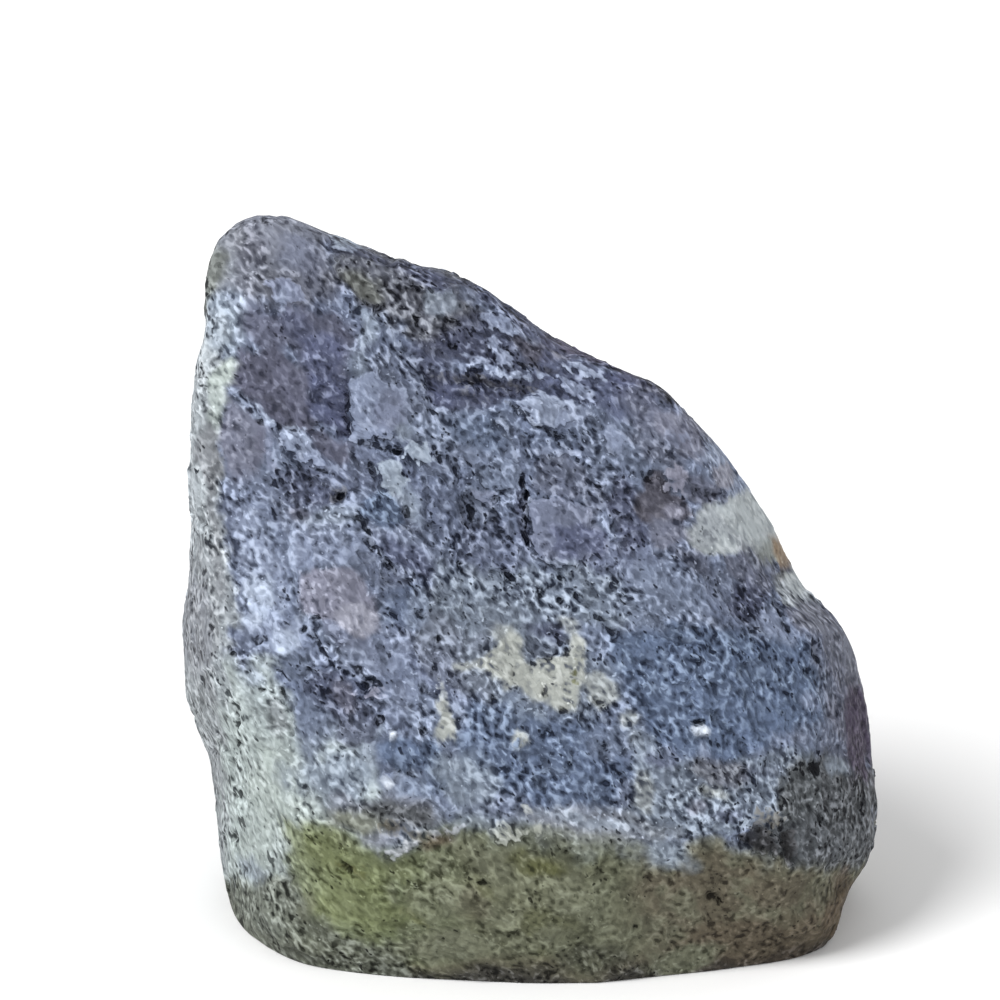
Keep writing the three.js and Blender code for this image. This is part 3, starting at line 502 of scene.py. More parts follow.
LOWER_PATCHES = (
    Flake("blue under crystal", Mineral.DEEP_BLUE, ((-14.8, 24.8), (-12, 24.2), (-9.4, 23.6), (-8.4, 22),
        (-10, 20.6), (-13, 21.2), (-15.2, 22.6)), 0.9, 0.9),
    Flake("blue below middle", Mineral.DEEP_BLUE, ((-6.9, 27.4), (-2, 28.4), (2, 26.6), (6, 26), (9.4, 25),
        (10.2, 20.4), (8, 17.4), (2, 17.2), (-2, 18.8), (-6, 20), (-7, 23)), 0.8, 1.4),
    Patch(Mineral.HAZE, (-6.6, 19.8), (3.2, 2.6), -10, 0.85, 1.6),
    Flake("blue at right", Mineral.DEEP_BLUE, ((8, 34.6), (14, 35.4), (22, 34.6), (27.6, 33.6), (29.6, 30),
        (29.6, 26), (24, 23.6), (19.6, 21.8), (14.6, 22.6), (11.8, 24.4), (9.8, 27.6), (8.4, 31)), 0.9, 1.3),
    Flake("dark inset above nest", Mineral.NIGHT, ((-0.4, 35.4), (3.4, 35.6), (4.4, 33.6), (2.4, 32.4),
        (0.4, 32.2), (-0.6, 33.4)), 0.85, 0.6, -0.2),
    Patch(Mineral.DEEP_BLUE, (-11, 19.4), (2.4, 1.2), -10, 0.5, 1.2),
    Patch(Mineral.STEEL, (8, 23.8), (2.2, 1.8), 0, 0.65, 1.2),
    Patch(Mineral.SALT, (1.6, 30.4), (7.4, 4.6), -14, 0.6, 2),
    Flake("cream nest", Mineral.CREAM, ((-5.2, 31.4), (-4.5, 32.2), (-3, 33.5), (-2.3, 34.8), (-0.9, 34),
        (-0.4, 32.2), (0.5, 31.5), (2, 32), (3.6, 32.9), (4.2, 34), (4.8, 34.9), (5.6, 34.2), (5.6, 32.4),
        (6, 31), (5.2, 29.4), (4.9, 28.4), (4.4, 27), (2.9, 26.5), (1.7, 27.6), (0.5, 28.2), (-0.7, 28.8),
        (-1.9, 29.2), (-2.8, 29.8), (-4, 30)), 0.95, 0.6, 0.2),
    Patch(Mineral.CREAM, (1.6, 30.2), (4, 1.8), -8, 0.8, 0.7),
    Flake("cream nest, right arm", Mineral.CREAM, ((5.4, 31), (7, 30.9), (8.4, 29.7), (8.9, 28), (8.2, 27),
        (7.2, 26.6), (6.6, 27.8), (5.6, 29)), 0.65, 0.7, 0.1),
    Patch(Mineral.CREAM, (4.2, 35.4), (1.3, 0.7), -30, 0.6, 0.6, 0.1),
    Patch(Mineral.CREAM, (-2.2, 34.2), (1.8, 1), -50, 0.55, 0.7, 0.1),
    Patch(Mineral.CREAM, (-6.2, 31.3), (0.9, 0.7), 0, 0.7, 0.5, 0.1),
    Patch(Mineral.MOSS, (4.7, 31), (0.35, 0.8), -6, 0.9, 0.3),
    Flake("small cream nest", Mineral.CREAM, ((-9.2, 27.6), (-8.5, 28), (-7.7, 26.8), (-7.1, 25), (-7.3, 24),
        (-8.6, 23.8), (-9.3, 24.8), (-8.9, 26.2)), 0.9, 0.5, 0.15),
    Patch(Mineral.CREAM, (-8.3, 28.6), (0.4, 1), 10, 0.5, 0.4, 0.1),
    Patch(Mineral.CREAM, (-0.9, 24.2), (1, 0.85), 0, 0.8, 0.5, 0.1),
    Patch(Mineral.DEEP_BLUE, (-0.9, 23.9), (0.35, 0.3), 0, 0.9, 0.2),
    Patch(Mineral.CREAM, (9.8, 25.9), (1, 0.8), 20, 0.65, 0.6),
    Patch(Mineral.CREAM, (11, 23.6), (0.6, 1.6), 34, 0.55, 0.5),
    Patch(Mineral.WHITE, (17.2, 24.8), (0.7, 0.5), -10, 1, 0.45, 0.25),
    Patch(Mineral.PALE_LILAC, (17.6, 22.9), (0.5, 1), 14, 0.6, 0.5, 0.1),
    Patch(Mineral.WHITE, (-13.9, 19.9), (0.7, 0.45), -30, 1, 0.45, 0.25),
    Patch(Mineral.WHITE, (-13.6, 24.7), (0.5, 0.45), 0, 1, 0.45, 0.2),
    Patch(Mineral.ICE, (22.9, 18.4), (0.35, 0.6), -30, 0.9, 0.45, 0.2),
    Flake("salt band above foot", Mineral.SALT, ((9.6, 26.6), (12, 24.6), (14.4, 21.8), (19.4, 21.6),
        (24, 23.2), (28, 22.6), (29.4, 18), (26, 15.4), (20, 15), (14, 13.8), (10, 15.4), (10.6, 20)),
        0.85, 1.2),
    Patch(Mineral.CREAM, (11.6, 18.6), (1, 2), 14, 0.5, 0.7),
    Patch(Mineral.CREAM, (18.2, 18.8), (1.6, 0.6), -10, 0.65, 0.5),
    Patch(Mineral.ROSE, (17, 17.6), (0.9, 0.7), 0, 0.6, 0.5),
    Patch(Mineral.MICA, (19.4, 20.9), (2.8, 1.4), -8, 0.9, 0.9),
    Patch(Mineral.NIGHT, (23.4, 20.8), (2.2, 0.6), 6, 0.4, 0.7, -0.1),
    Patch(Mineral.NIGHT, (19.6, 16.6), (1.7, 0.6), 4, 0.7, 0.5, -0.1),
    Patch(Mineral.NIGHT, (13, 21.8), (1.5, 0.7), -10, 0.7, 0.6),
    Flake("grey above foot, left", Mineral.TIP, ((-20, 18.6), (-16, 18.2), (-12, 18.6), (-9.6, 17.4),
        (-9, 16), (-13, 15.4), (-15, 12.8), (-17.8, 14.6), (-20, 15.6)), 0.7, 1.2),
    Patch(Mineral.MOULD, (-17.2, 16), (2.8, 1.2), -10, 0.75, 1),
    Patch(Mineral.BIOTITE, (-13, 16.6), (4.2, 1.2), -8, 0.75, 1, -0.15),
    Flake("pale ledge", Mineral.ASH, ((-14.2, 12.7), (-12.6, 13.6), (-10.8, 14.8), (-9.2, 15.3), (-6, 15.8),
        (-6.6, 15), (-9.6, 14.3), (-11.4, 13.2), (-13.2, 12.2)), 0.9, 0.35, 0.25),
    Patch(Mineral.RED_BROWN, (-8.9, 14), (1.9, 0.7), 26, 0.8, 0.6),
    Flake("cream on foot's edge", Mineral.CREAM, ((-3.4, 15.2), (-2.4, 15.9), (-1, 15), (1.2, 15.2),
        (2.2, 15.8), (1.6, 14.9), (-0.6, 14.2), (-2.6, 13.9)), 0.8, 0.4, 0.2),
    Patch(Mineral.CREAM, (-0.1, 17.2), (0.6, 0.6), 0, 0.7, 0.4, 0.1),
    Patch(Mineral.HAZE, (-4.4, 16), (3, 0.9), 0, 0.5),
    Patch(Mineral.ASH, (6.6, 15.6), (8, 1.5), -7, 0.6, 1.2),
    Patch(Mineral.GREEN_GREY, (6, 15.9), (4.4, 0.5), -10, 0.6, 0.5, 0.15),
    Patch(Mineral.ICE, (7.8, 16.7), (0.9, 0.4), 24, 0.6, 0.3, 0.1),
    Patch(Mineral.MOULD, (5, 14.2), (8, 0.9), -8, 0.5, 0.9),
    Flake("mica corner at right", Mineral.BIOTITE, ((26, 21), (29, 22.6), (35.4, 21), (35.4, 12), (31, 11.2),
        (25, 12), (22, 13.6), (24.4, 16.4)), 0.85, 1.4),
    Patch(Mineral.GREEN_GREY, (31.2, 21.4), (1.5, 0.8), -10, 0.6, 0.6),
    Flake("dark pocket at right", Mineral.CHAR, ((21, 14.6), (22.3, 15.7), (23.9, 15.2), (25, 13.8),
        (24.6, 12.6), (23, 12.7), (21.8, 13.7)), 0.85, 0.4, -0.35),
    Patch(Mineral.UMBER, (23.8, 16.2), (1.2, 0.5), -24, 0.7, 0.4),
    Flake("dark pocket at right, low", Mineral.CHAR, ((25.2, 14.9), (26.2, 15.2), (26.8, 13.6), (26.8, 12.1),
        (25.7, 12), (25.2, 13.2)), 0.85, 0.35, -0.3),
    Flake("slate strip at right edge", Mineral.SLATE, ((30.6, 31), (36, 31), (36, 21.4), (32, 22.4),
        (30.4, 25.6)), 0.95, 0.7),
    Patch(Mineral.MAROON, (33.2, 25), (1.5, 5), 4, 0.92),
    Patch(Mineral.TIP, (33, 30.4), (1, 1.7), 10, 0.55, 0.7),
    Patch(Mineral.LILAC, (28.2, 27.8), (1.1, 1), 0, 0.7, 0.6, 0.1),
)

FOOT_PATCHES = (
    Flake("bright olive at left", Mineral.OLIVE, ((-24.6, 15.8), (-20.4, 15.4), (-17.4, 14), (-14.6, 11),
        (-11, 6), (-16, 4.6), (-22, 6.4), (-24.2, 10)), 0.8, 1.4),
    Flake("grey corner of foot", Mineral.GRAVEL, ((-33, 9.6), (-28, 9.4), (-24.6, 10.6), (-22.4, 7.4),
        (-18, 4.4), (-12, 2.6), (-12, 0), (-24, 0), (-33, 4)), 0.9, 1.4),
    Patch(Mineral.GREEN_BROWN, (-22.2, 7.4), (1, 1.5), -10, 0.6),
    Patch(Mineral.MOSS, (-18, 11.4), (1, 0.4), -24, 0.8, 0.4),
    Patch(Mineral.MOSS, (-16.4, 10.8), (0.5, 0.5), 0, 0.6, 0.4),
    Patch(Mineral.MOSS, (-11, 5.9), (1.4, 0.3), -36, 0.6, 0.4),
    Patch(Mineral.MOULD, (-9.4, 8), (3.2, 2), -10, 0.5, 1.4),
    Patch(Mineral.MOSS, (1.6, 11.4), (2.4, 1.1), -6, 0.75, 0.9),
    Patch(Mineral.MOSS, (-1, 12.6), (1.2, 0.6), 20, 0.5, 0.6),
    Patch(Mineral.HAZE, (13.8, 12.6), (2.6, 1.1), -14, 0.75, 1.2),
    Patch(Mineral.MOULD, (5.6, 8.2), (3.4, 1.8), -10, 0.5, 1.4),
    Patch(Mineral.UMBER, (-5.4, 7.6), (1.4, 1.8), 0, 0.35, 1.2),
    Patch(Mineral.MOULD, (-8, 3.4), (4.6, 1.5), 4, 0.9, 1),
    # painted shade: darkens the very bottom of the foot here
    Patch(Mineral.CHAR, (6.6, 2), (4, 1.4), 0, 0.35, 1),
    Patch(Mineral.MOULD, (12.6, 4.6), (3.2, 1.6), 10, 0.4, 1.2),
    Patch(Mineral.RED_BROWN, (23, 3.8), (8.6, 2.6), 8, 0.45, 1.6),
    Patch(Mineral.RED_BROWN, (31.2, 7.6), (1.4, 3.4), -12, 0.8, 0.9),
    Patch(Mineral.MOULD, (29.4, 9), (1.6, 1.6), -12, 0.35, 0.9),
    Patch(Mineral.MOULD, (15.4, 2), (3.6, 1.3), 6, 0.9, 0.9),
)

FRONT_PATCHES = UPPER_PATCHES + MIDDLE_PATCHES + LEFT_PATCHES + LOWER_PATCHES + FOOT_PATCHES


@dataclass(frozen=True)
class Pit:
    """A small dark pit of the front: where it is, its half width and half height, its turn and its depth."""

    at: Place
    size: tuple[float, float]
    turn: float = 0.0
    depth: float = 0.5


FRONT_PITS = (
    Pit((-26.3, 75.9), (0.5, 0.35), 0, 0.4),
    Pit((-26.9, 55.7), (0.6, 0.35), -30),
    Pit((-16.2, 68.4), (0.5, 0.3), -40),
    Pit((-11.2, 66.4), (0.3, 0.7), 30),
    Pit((-7.4, 65.6), (0.6, 0.35), -30),
    Pit((-7.4, 63.4), (0.6, 0.3), -10),
    Pit((-13, 52.9), (0.7, 0.35), 0, 0.6),
    Pit((-15.6, 51), (0.35, 0.9), 20, 0.6),
    Pit((-18.8, 48.6), (0.9, 0.45), 20, 0.8),
    Pit((-20.8, 50.7), (0.8, 0.3), -10),
    Pit((-9, 52.4), (0.3, 0.9), 20),
    Pit((-5.6, 46.8), (0.55, 0.8), 20, 0.6),
    Pit((-3.2, 48), (0.5, 0.5)),
    Pit((-0.5, 48.6), (0.5, 0.9), 0, 0.6),
    Pit((-12.2, 46.8), (0.5, 0.4), -40),
    Pit((-15.8, 43.6), (0.9, 0.3), -46, 0.6),
    Pit((-14.2, 41.8), (0.4, 0.9), 30),
    Pit((-1.9, 40.7), (0.9, 0.5), -30, 0.8),
    Pit((-6.6, 41.6), (0.5, 0.35), -30),
    Pit((-10.6, 36.4), (0.6, 0.35), -50),
    Pit((-9, 34.3), (0.4, 0.35)),
    Pit((1, 38.4), (0.5, 0.4), -20),
    Pit((3.1, 38.1), (0.5, 0.4), -20),
    Pit((5, 38.4), (0.5, 0.35), -30),
    Pit((3.4, 40), (0.6, 0.4), -20),
    Pit((7.3, 36.2), (0.6, 0.45), -30),
    Pit((8.5, 34.8), (0.5, 0.4), -30),
    Pit((6.9, 49.2), (0.5, 0.35), -30),
    Pit((12.2, 50.1), (0.6, 0.4), -20),
    Pit((-21.4, 36.2), (0.8, 0.35), 10, 0.8),
    Pit((-22.5, 35), (0.5, 0.4), 0, 0.6),
    Pit((-26.8, 34), (0.6, 0.4), 10),
    Pit((-29.5, 32.4), (0.35, 0.5), 0, 0.6),
    Pit((-17.1, 31.1), (0.5, 0.4), -30, 0.6),
    Pit((-16.2, 29.9), (0.9, 0.4), 14, 0.8),
    Pit((-15, 26.2), (0.5, 0.6), -40, 0.6),
    Pit((-10.6, 25.2), (0.4, 0.9), 30, 0.6),
    Pit((-10.2, 29), (0.3, 0.7), 30, 0.4),
    Pit((-24.7, 29), (0.4, 0.9), 10, 0.6),
    Pit((-26.7, 29.1), (0.35, 0.4)),
    Pit((-29.3, 26.4), (0.45, 1.3), 4, 0.7),
    Pit((-29, 23.4), (0.5, 0.35), -30),
    Pit((-31.9, 22.8), (0.4, 0.6), -20, 0.6),
    Pit((-31.7, 35.4), (0.3, 0.7)),
    Pit((-29.2, 18.5), (0.4, 0.5), -20, 0.4),
    Pit((-23.3, 17.2), (0.35, 0.3), 0, 0.4),
    Pit((-22.3, 19), (0.3, 0.5), 0, 0.4),
    Pit((-29.4, 13.8), (0.45, 0.5)),
    Pit((-30.6, 13.8), (0.3, 0.7)),
    Pit((-14.1, 17), (0.8, 0.4), -10),
    Pit((-1.5, 30.4), (0.45, 0.35), -20, 0.4),
    Pit((0.4, 31.6), (0.5, 0.3), -30, 0.4),
    Pit((2.1, 32.1), (0.5, 0.3), 10, 0.4),
    Pit((3.7, 32.8), (0.4, 0.3), 30, 0.4),
    Pit((1.6, 28.7), (0.35, 0.5), -20, 0.4),
    Pit((3.4, 26.7), (0.35, 0.3), 0, 0.4),
    Pit((-3.4, 28.3), (0.6, 0.4), -20),
    Pit((6.9, 27.6), (0.6, 0.4), -30),
    Pit((7.5, 23.8), (0.7, 0.35), -24),
    Pit((17.2, 25.8), (0.7, 0.4), 0, 0.7),
    Pit((17.2, 19.2), (0.5, 0.35)),
    Pit((28, 30.7), (0.5, 0.5)),
    Pit((28.9, 32.6), (0.35, 1.6), 14, 0.6),
    Pit((28.6, 20.9), (0.6, 0.9), 10),
    Pit((-18.3, 11.4), (0.8, 0.3), -24),
    Pit((-4, 9.8), (0.7, 0.5), -20, 0.6),
    Pit((18.3, 8.5), (0.9, 0.35), 30, 0.6),
    Pit((19.1, 8.2), (0.4, 0.5), 0, 0.6),
    Pit((10.6, 5.1), (0.4, 0.3), 0, 0.4),
    Pit((3.7, 13.1), (0.5, 0.3), -20, 0.4),
    Pit((-24, 10), (0.7, 0.3), 10, 0.4),
)


@dataclass(frozen=True)
class Seam:
    """A crack or a vein of the front: a bent line with a width and a height, in millimetres."""

    name: str
    mineral: Mineral
    line: tuple[Place, ...]
    width: float
    height: float
    strength: float = 0.85
    soft: bool = False  # whether it fades out at its edges


FRONT_SEAMS = (
    # painted shadow: a shallow groove painted dark as the shade at the foot of the lilac flake's step; it is
    # laid with the cracks
    Seam("step left of lilac flake", Mineral.PIT, ((-18.4, 58.6), (-18.2, 57.4), (-17.9, 56), (-17.6, 54.8)),
        0.36, -0.35, 0.9),
    Seam("crack under lilac flake", Mineral.PIT, ((-17, 53.8), (-14.8, 53.4), (-12.6, 52.9)), 0.4, -0.4, 0.6),
    Seam("pale vein on violet face", Mineral.PALE_LILAC, ((-30, 59), (-29.4, 58.6), (-27.6, 57),
        (-26.4, 56.2), (-25.4, 55.2)), 0.5, 0.2, 1),
    Seam("pale vein, lower end", Mineral.GREY_LILAC, ((-26, 55), (-26.2, 52.8), (-25.8, 51.4)),
        0.45, 0.15, 0.8),
    Seam("crack beside vein", Mineral.PIT, ((-25, 55.6), (-23.4, 54.8)), 0.3, -0.35, 0.6),
    Seam("crack of grey-lilac flake", Mineral.PIT, ((-0.6, 50.4), (-0.3, 48.4), (-0.6, 46), (-0.2, 43.8)),
        0.4, -0.5, 0.6),
    Seam("crack by deep blue flake", Mineral.PIT, ((-17.2, 46.6), (-16, 44.4), (-14.4, 42.6), (-13.2, 40.6)),
        0.35, -0.4, 0.5),
    Seam("crack under rose flake", Mineral.PIT, ((-21.6, 34.6), (-20.2, 32.2), (-17.8, 30.6), (-15, 29.6)),
        0.3, -0.3, 0.5),
    Seam("crack by edge flake", Mineral.PIT, ((-1.4, 57.4), (0.6, 55.6), (3.2, 54.4)), 0.35, -0.35, 0.6),
    Seam("crack above foot", Mineral.UMBER, ((-14.6, 15.4), (-12, 15), (-9.6, 14.2)), 0.35, -0.4, 0.6),
    Seam("crack right of quartz", Mineral.PIT, ((25, 37.4), (25.6, 36), (26.4, 34.8)), 0.35, -0.3, 0.6),
    Seam("rim line", Mineral.NIGHT, ((-19.6, 73.6), (-14, 71.6), (-9.6, 70.6), (-5.4, 69.6), (0, 65.2)),
        0.7, -0.1, 0.6, True),
    Seam("rim line, right", Mineral.NIGHT, ((0, 65.2), (5, 62.5), (9.6, 60.6), (13.6, 58.8)),
        0.6, 0, 0.6, True),
)

# Where the shaded foot begins, across and up.
FOOT_LINE = ((-35, 15.5), (-24, 16), (-20, 15.4), (-17, 13.8), (-14, 12.7), (-12, 13), (-9, 14.5), (-6, 15),
    (-1.5, 14.1), (2, 13.5), (7, 12.9), (12, 12), (14, 11.5), (17, 12.8), (19.5, 13), (22, 11.9), (27, 11),
    (31, 10.6), (36, 10.8))


@dataclass(frozen=True)
class FrontPlane:
    """The plane square to the line of sight that the front's features are placed on.

    Attributes:
        elevation: how far above the horizontal the viewer looks from, in degrees.
        zero_x: where its zero lies across the stone, in millimetres.
        zero_y: where its zero lies along the stone's depth, in millimetres.
    """

    elevation: float = 20.0
    zero_x: float = -0.09
    zero_y: float = -24.58

    @property
    def sight(self) -> np.ndarray:
        """The direction from the stone towards the viewer."""
        angle = math.radians(self.elevation)
        return np.array((0.0, -math.cos(angle), math.sin(angle)))

    @property
    def up(self) -> np.ndarray:
        """The plane's upward direction."""
        angle = math.radians(self.elevation)
        return np.array((0.0, math.sin(angle), math.cos(angle)))

    def place(self, points: np.ndarray) -> tuple[np.ndarray, np.ndarray]:
        """Find where points show on the plane.

        Args:
            points: points of the stone, in millimetres.

        Returns:
            How far each lies across and up.
        """
        offset = points - np.array((self.zero_x, self.zero_y, 0.0))
        return offset[:, 0], offset @ self.up

    def point(self, across: float, up: float) -> Vector:
        """Give the point of the plane at a place across and up, in millimetres."""
        zero = Vector((self.zero_x + across, self.zero_y, 0.0))
        return zero + Vector(self.up) * up


FRONT = FrontPlane()


def rock_grain() -> np.ndarray:
    """Give the direction that the rock's grain runs in: down to the right as it is seen from the front."""
    grain = 0.62 * np.array((1.0, 0.0, 0.0)) - 0.74 * FRONT.up + 0.26 * FRONT.sight
    return grain / np.linalg.norm(grain)


GRAIN = rock_grain()


class RockNoise:
    """Repeatable noise of the rock at many points, drawn out along its grain."""

    def __init__(self, points: np.ndarray) -> None:
        """Keep the points that every noise is worked out at.

        Args:
            points: points of the stone, in millimetres.
        """
        self.points = points

    def drawn_out(self, size: float, offset: float, stretch: float) -> np.ndarray:
        """Scale the points so that what is laid over them comes out that size, and longer along the grain."""
        along = self.points @ GRAIN
        return (self.points - np.outer(along * (1.0 - 1.0 / stretch), GRAIN)) / size + offset

    def sample(self, size: float, offset: float = 0.0, stretch: float = 1.0) -> np.ndarray:
        """Work out smooth noise from -1 to 1.

        Args:
            size: how wide a wave is, in millimetres.
            offset: moves the noise, so that two of one size differ.
            stretch: how many times longer it is along the grain.

        Returns:
            A value at each point.
        """
        return np.array([noise.noise(Vector(p)) for p in self.drawn_out(size, offset, stretch)])

    def turbulence(self, size: float, octaves: int, offset: float = 0.0, stretch: float = 1.0) -> np.ndarray:
        """Work out rough noise of several octaves, about -1 to 1.

        Args:
            size: how wide the widest wave is, in millimetres.
            octaves: how many sizes of wave there are.
            offset: moves the noise.
            stretch: how many times longer it is along the grain.

        Returns:
            A value at each point.
        """
        scaled = self.drawn_out(size, offset, stretch)
        return np.array([noise.fractal(Vector(p), 0.9, 2.1, octaves) for p in scaled])

    def bent(self, size: float, reach: float, offset: float = 0.0) -> "RockNoise":
        """Move the points about, so that what is laid over them next gets bent outlines.

        Args:
            size: how wide the bends are, in millimetres.
            reach: how far a point moves, in millimetres.
            offset: moves the noise.

        Returns:
            Noise at the moved points.
        """
        bend = np.stack([self.sample(size, offset + step) for step in (0.0, 37.0, 73.0)], axis=1)
        return RockNoise(self.points + reach * bend)

    def cells(self, size: float, offset: float = 0.0, stretch: float = 1.0) -> "Cells":
        """Divide the rock into cells.

        Args:
            size: how far apart the cells' middles are, in millimetres.
            offset: moves the cells, so that two layers of one size differ.
            stretch: how many times longer they are along the grain.

        Returns:
            The cells.
        """
        scaled = self.drawn_out(size, offset, stretch)
        found = [noise.voronoi(Vector(p)) for p in scaled]
        reach = np.array([distances[:2] for distances, _ in found])
        middles = np.array([tuple(points[0]) for _, points in found])
        return Cells(scaled, middles, reach[:, 0], reach[:, 1])


@dataclass
class Cells:
    """Cells of the rock at many points, in units of their own size."""

    points: np.ndarray
    middles: np.ndarray
    nearest: np.ndarray
    second: np.ndarray

    def chips(self, step: float, tilt: float) -> np.ndarray:
        """Turn each cell into a flat chip of its own height and slope.

        Args:
            step: how far chips lie above or below each other, in millimetres.
            tilt: how much a chip rises from its middle to its rim, in millimetres.

        Returns:
            The height at each point.
        """
        slope = np.stack([lots(self.middles, draw) - 0.5 for draw in (2.0, 3.0, 4.0)], axis=1)
        slope /= np.linalg.norm(slope, axis=1, keepdims=True) + 1e-6
        rise = ((self.points - self.middles) * slope).sum(axis=1)
        return step * (2.0 * lots(self.middles, 1.0) - 1.0) + 2.0 * tilt * rise


class FrontField:
    """Where each point of the stone shows on the front, shaken so that outlines on it come out ragged."""

    def __init__(self, rock: RockNoise, normals: np.ndarray) -> None:
        """Work out the places.

        Args:
            rock: noise at the stone's points.
            normals: the stone's normals there.
        """
        across, up = FRONT.place(rock.points)
        self.across = across + 0.55 * rock.sample(3.1, 11.0) + 0.3 * rock.sample(1.1, 31.0)
        self.up = up + 0.55 * rock.sample(3.1, 47.0) + 0.3 * rock.sample(1.1, 71.0)
        self.jag = 0.85 * rock.turbulence(1.9, 4, 83.0, 1.8)
        self.facing = smoothstep(-0.34, 0.02, normals @ FRONT.sight + 0.3 * self.jag)

    def turned(self, at: Place, turn: float) -> tuple[np.ndarray, np.ndarray]:
        """Give how far each point lies from a place, along and beside a turned line."""
        angle = math.radians(turn)
        x = self.across - at[0]
        y = self.up - at[1]
        return x * math.cos(angle) + y * math.sin(angle), y * math.cos(angle) - x * math.sin(angle)

    def cover(self, patch: Patch | Flake) -> np.ndarray:
        """Work out how fully a patch covers each point, from 0 to 1."""
        half = 0.5 * patch.blur
        return self.facing * smoothstep(-half, half, patch.depth(self))

    def lift(self, patch: Patch | Flake) -> np.ndarray:
        """Work out how far a patch lifts each point, in millimetres."""
        height = patch.lift * self.cover(patch)
        if patch.high_side is None:
            return height
        along, _ = self.turned(patch.at, patch.high_side)
        return height * smoothstep(-1.2, 0.8, along / patch.reach)

    def seam(self, seam: Seam) -> np.ndarray:
        """Work out how far inside a seam each point lies: 0 at its edge, 1 in its middle, below 0 outside."""
        steps = [line_distance(self.across, self.up, *ends) for ends in zip(seam.line, seam.line[1:])]
        return 1.0 - np.minimum.reduce(steps) / (seam.width * (0.8 + 0.5 * self.jag).clip(0.3))

    def pit(self, pit: Pit) -> np.ndarray:
        """Work out how far inside a pit each point lies: 0 at its edge, 1 in its middle, below 0 outside."""
        along, beside = self.turned(pit.at, pit.turn)
        return 1.0 - np.hypot(along / pit.size[0], beside / pit.size[1]) - 0.2 * self.jag

    def moved(self, across: float, up: float) -> "FrontField":
        """Give the field as seen from a place that far beside each point, in millimetres."""
        other = copy(self)
        other.across = self.across + across
        other.up = self.up + up
        return other

    def foot(self) -> np.ndarray:
        """Work out where the shaded foot is, from 0 to 1."""
        line = np.interp(self.across, *zip(*FOOT_LINE))
        return smoothstep(2.2, -1.8, self.up - line + 1.2 * self.jag)


@dataclass(frozen=True)
class ChipLayer:
    """Chips of one size that cover the rock.

    Attributes:
        size: how far apart their middles are, in millimetres.
        step: how far they lie above or below each other, in millimetres.
        tilt: how much a chip rises from its middle to its rim, in millimetres.
        offset: moves the layer, so that it differs from the others.
        shade: how much lighter or darker one chip is than another.
    """

    size: float
    step: float
    tilt: float
    offset: float
    shade: float


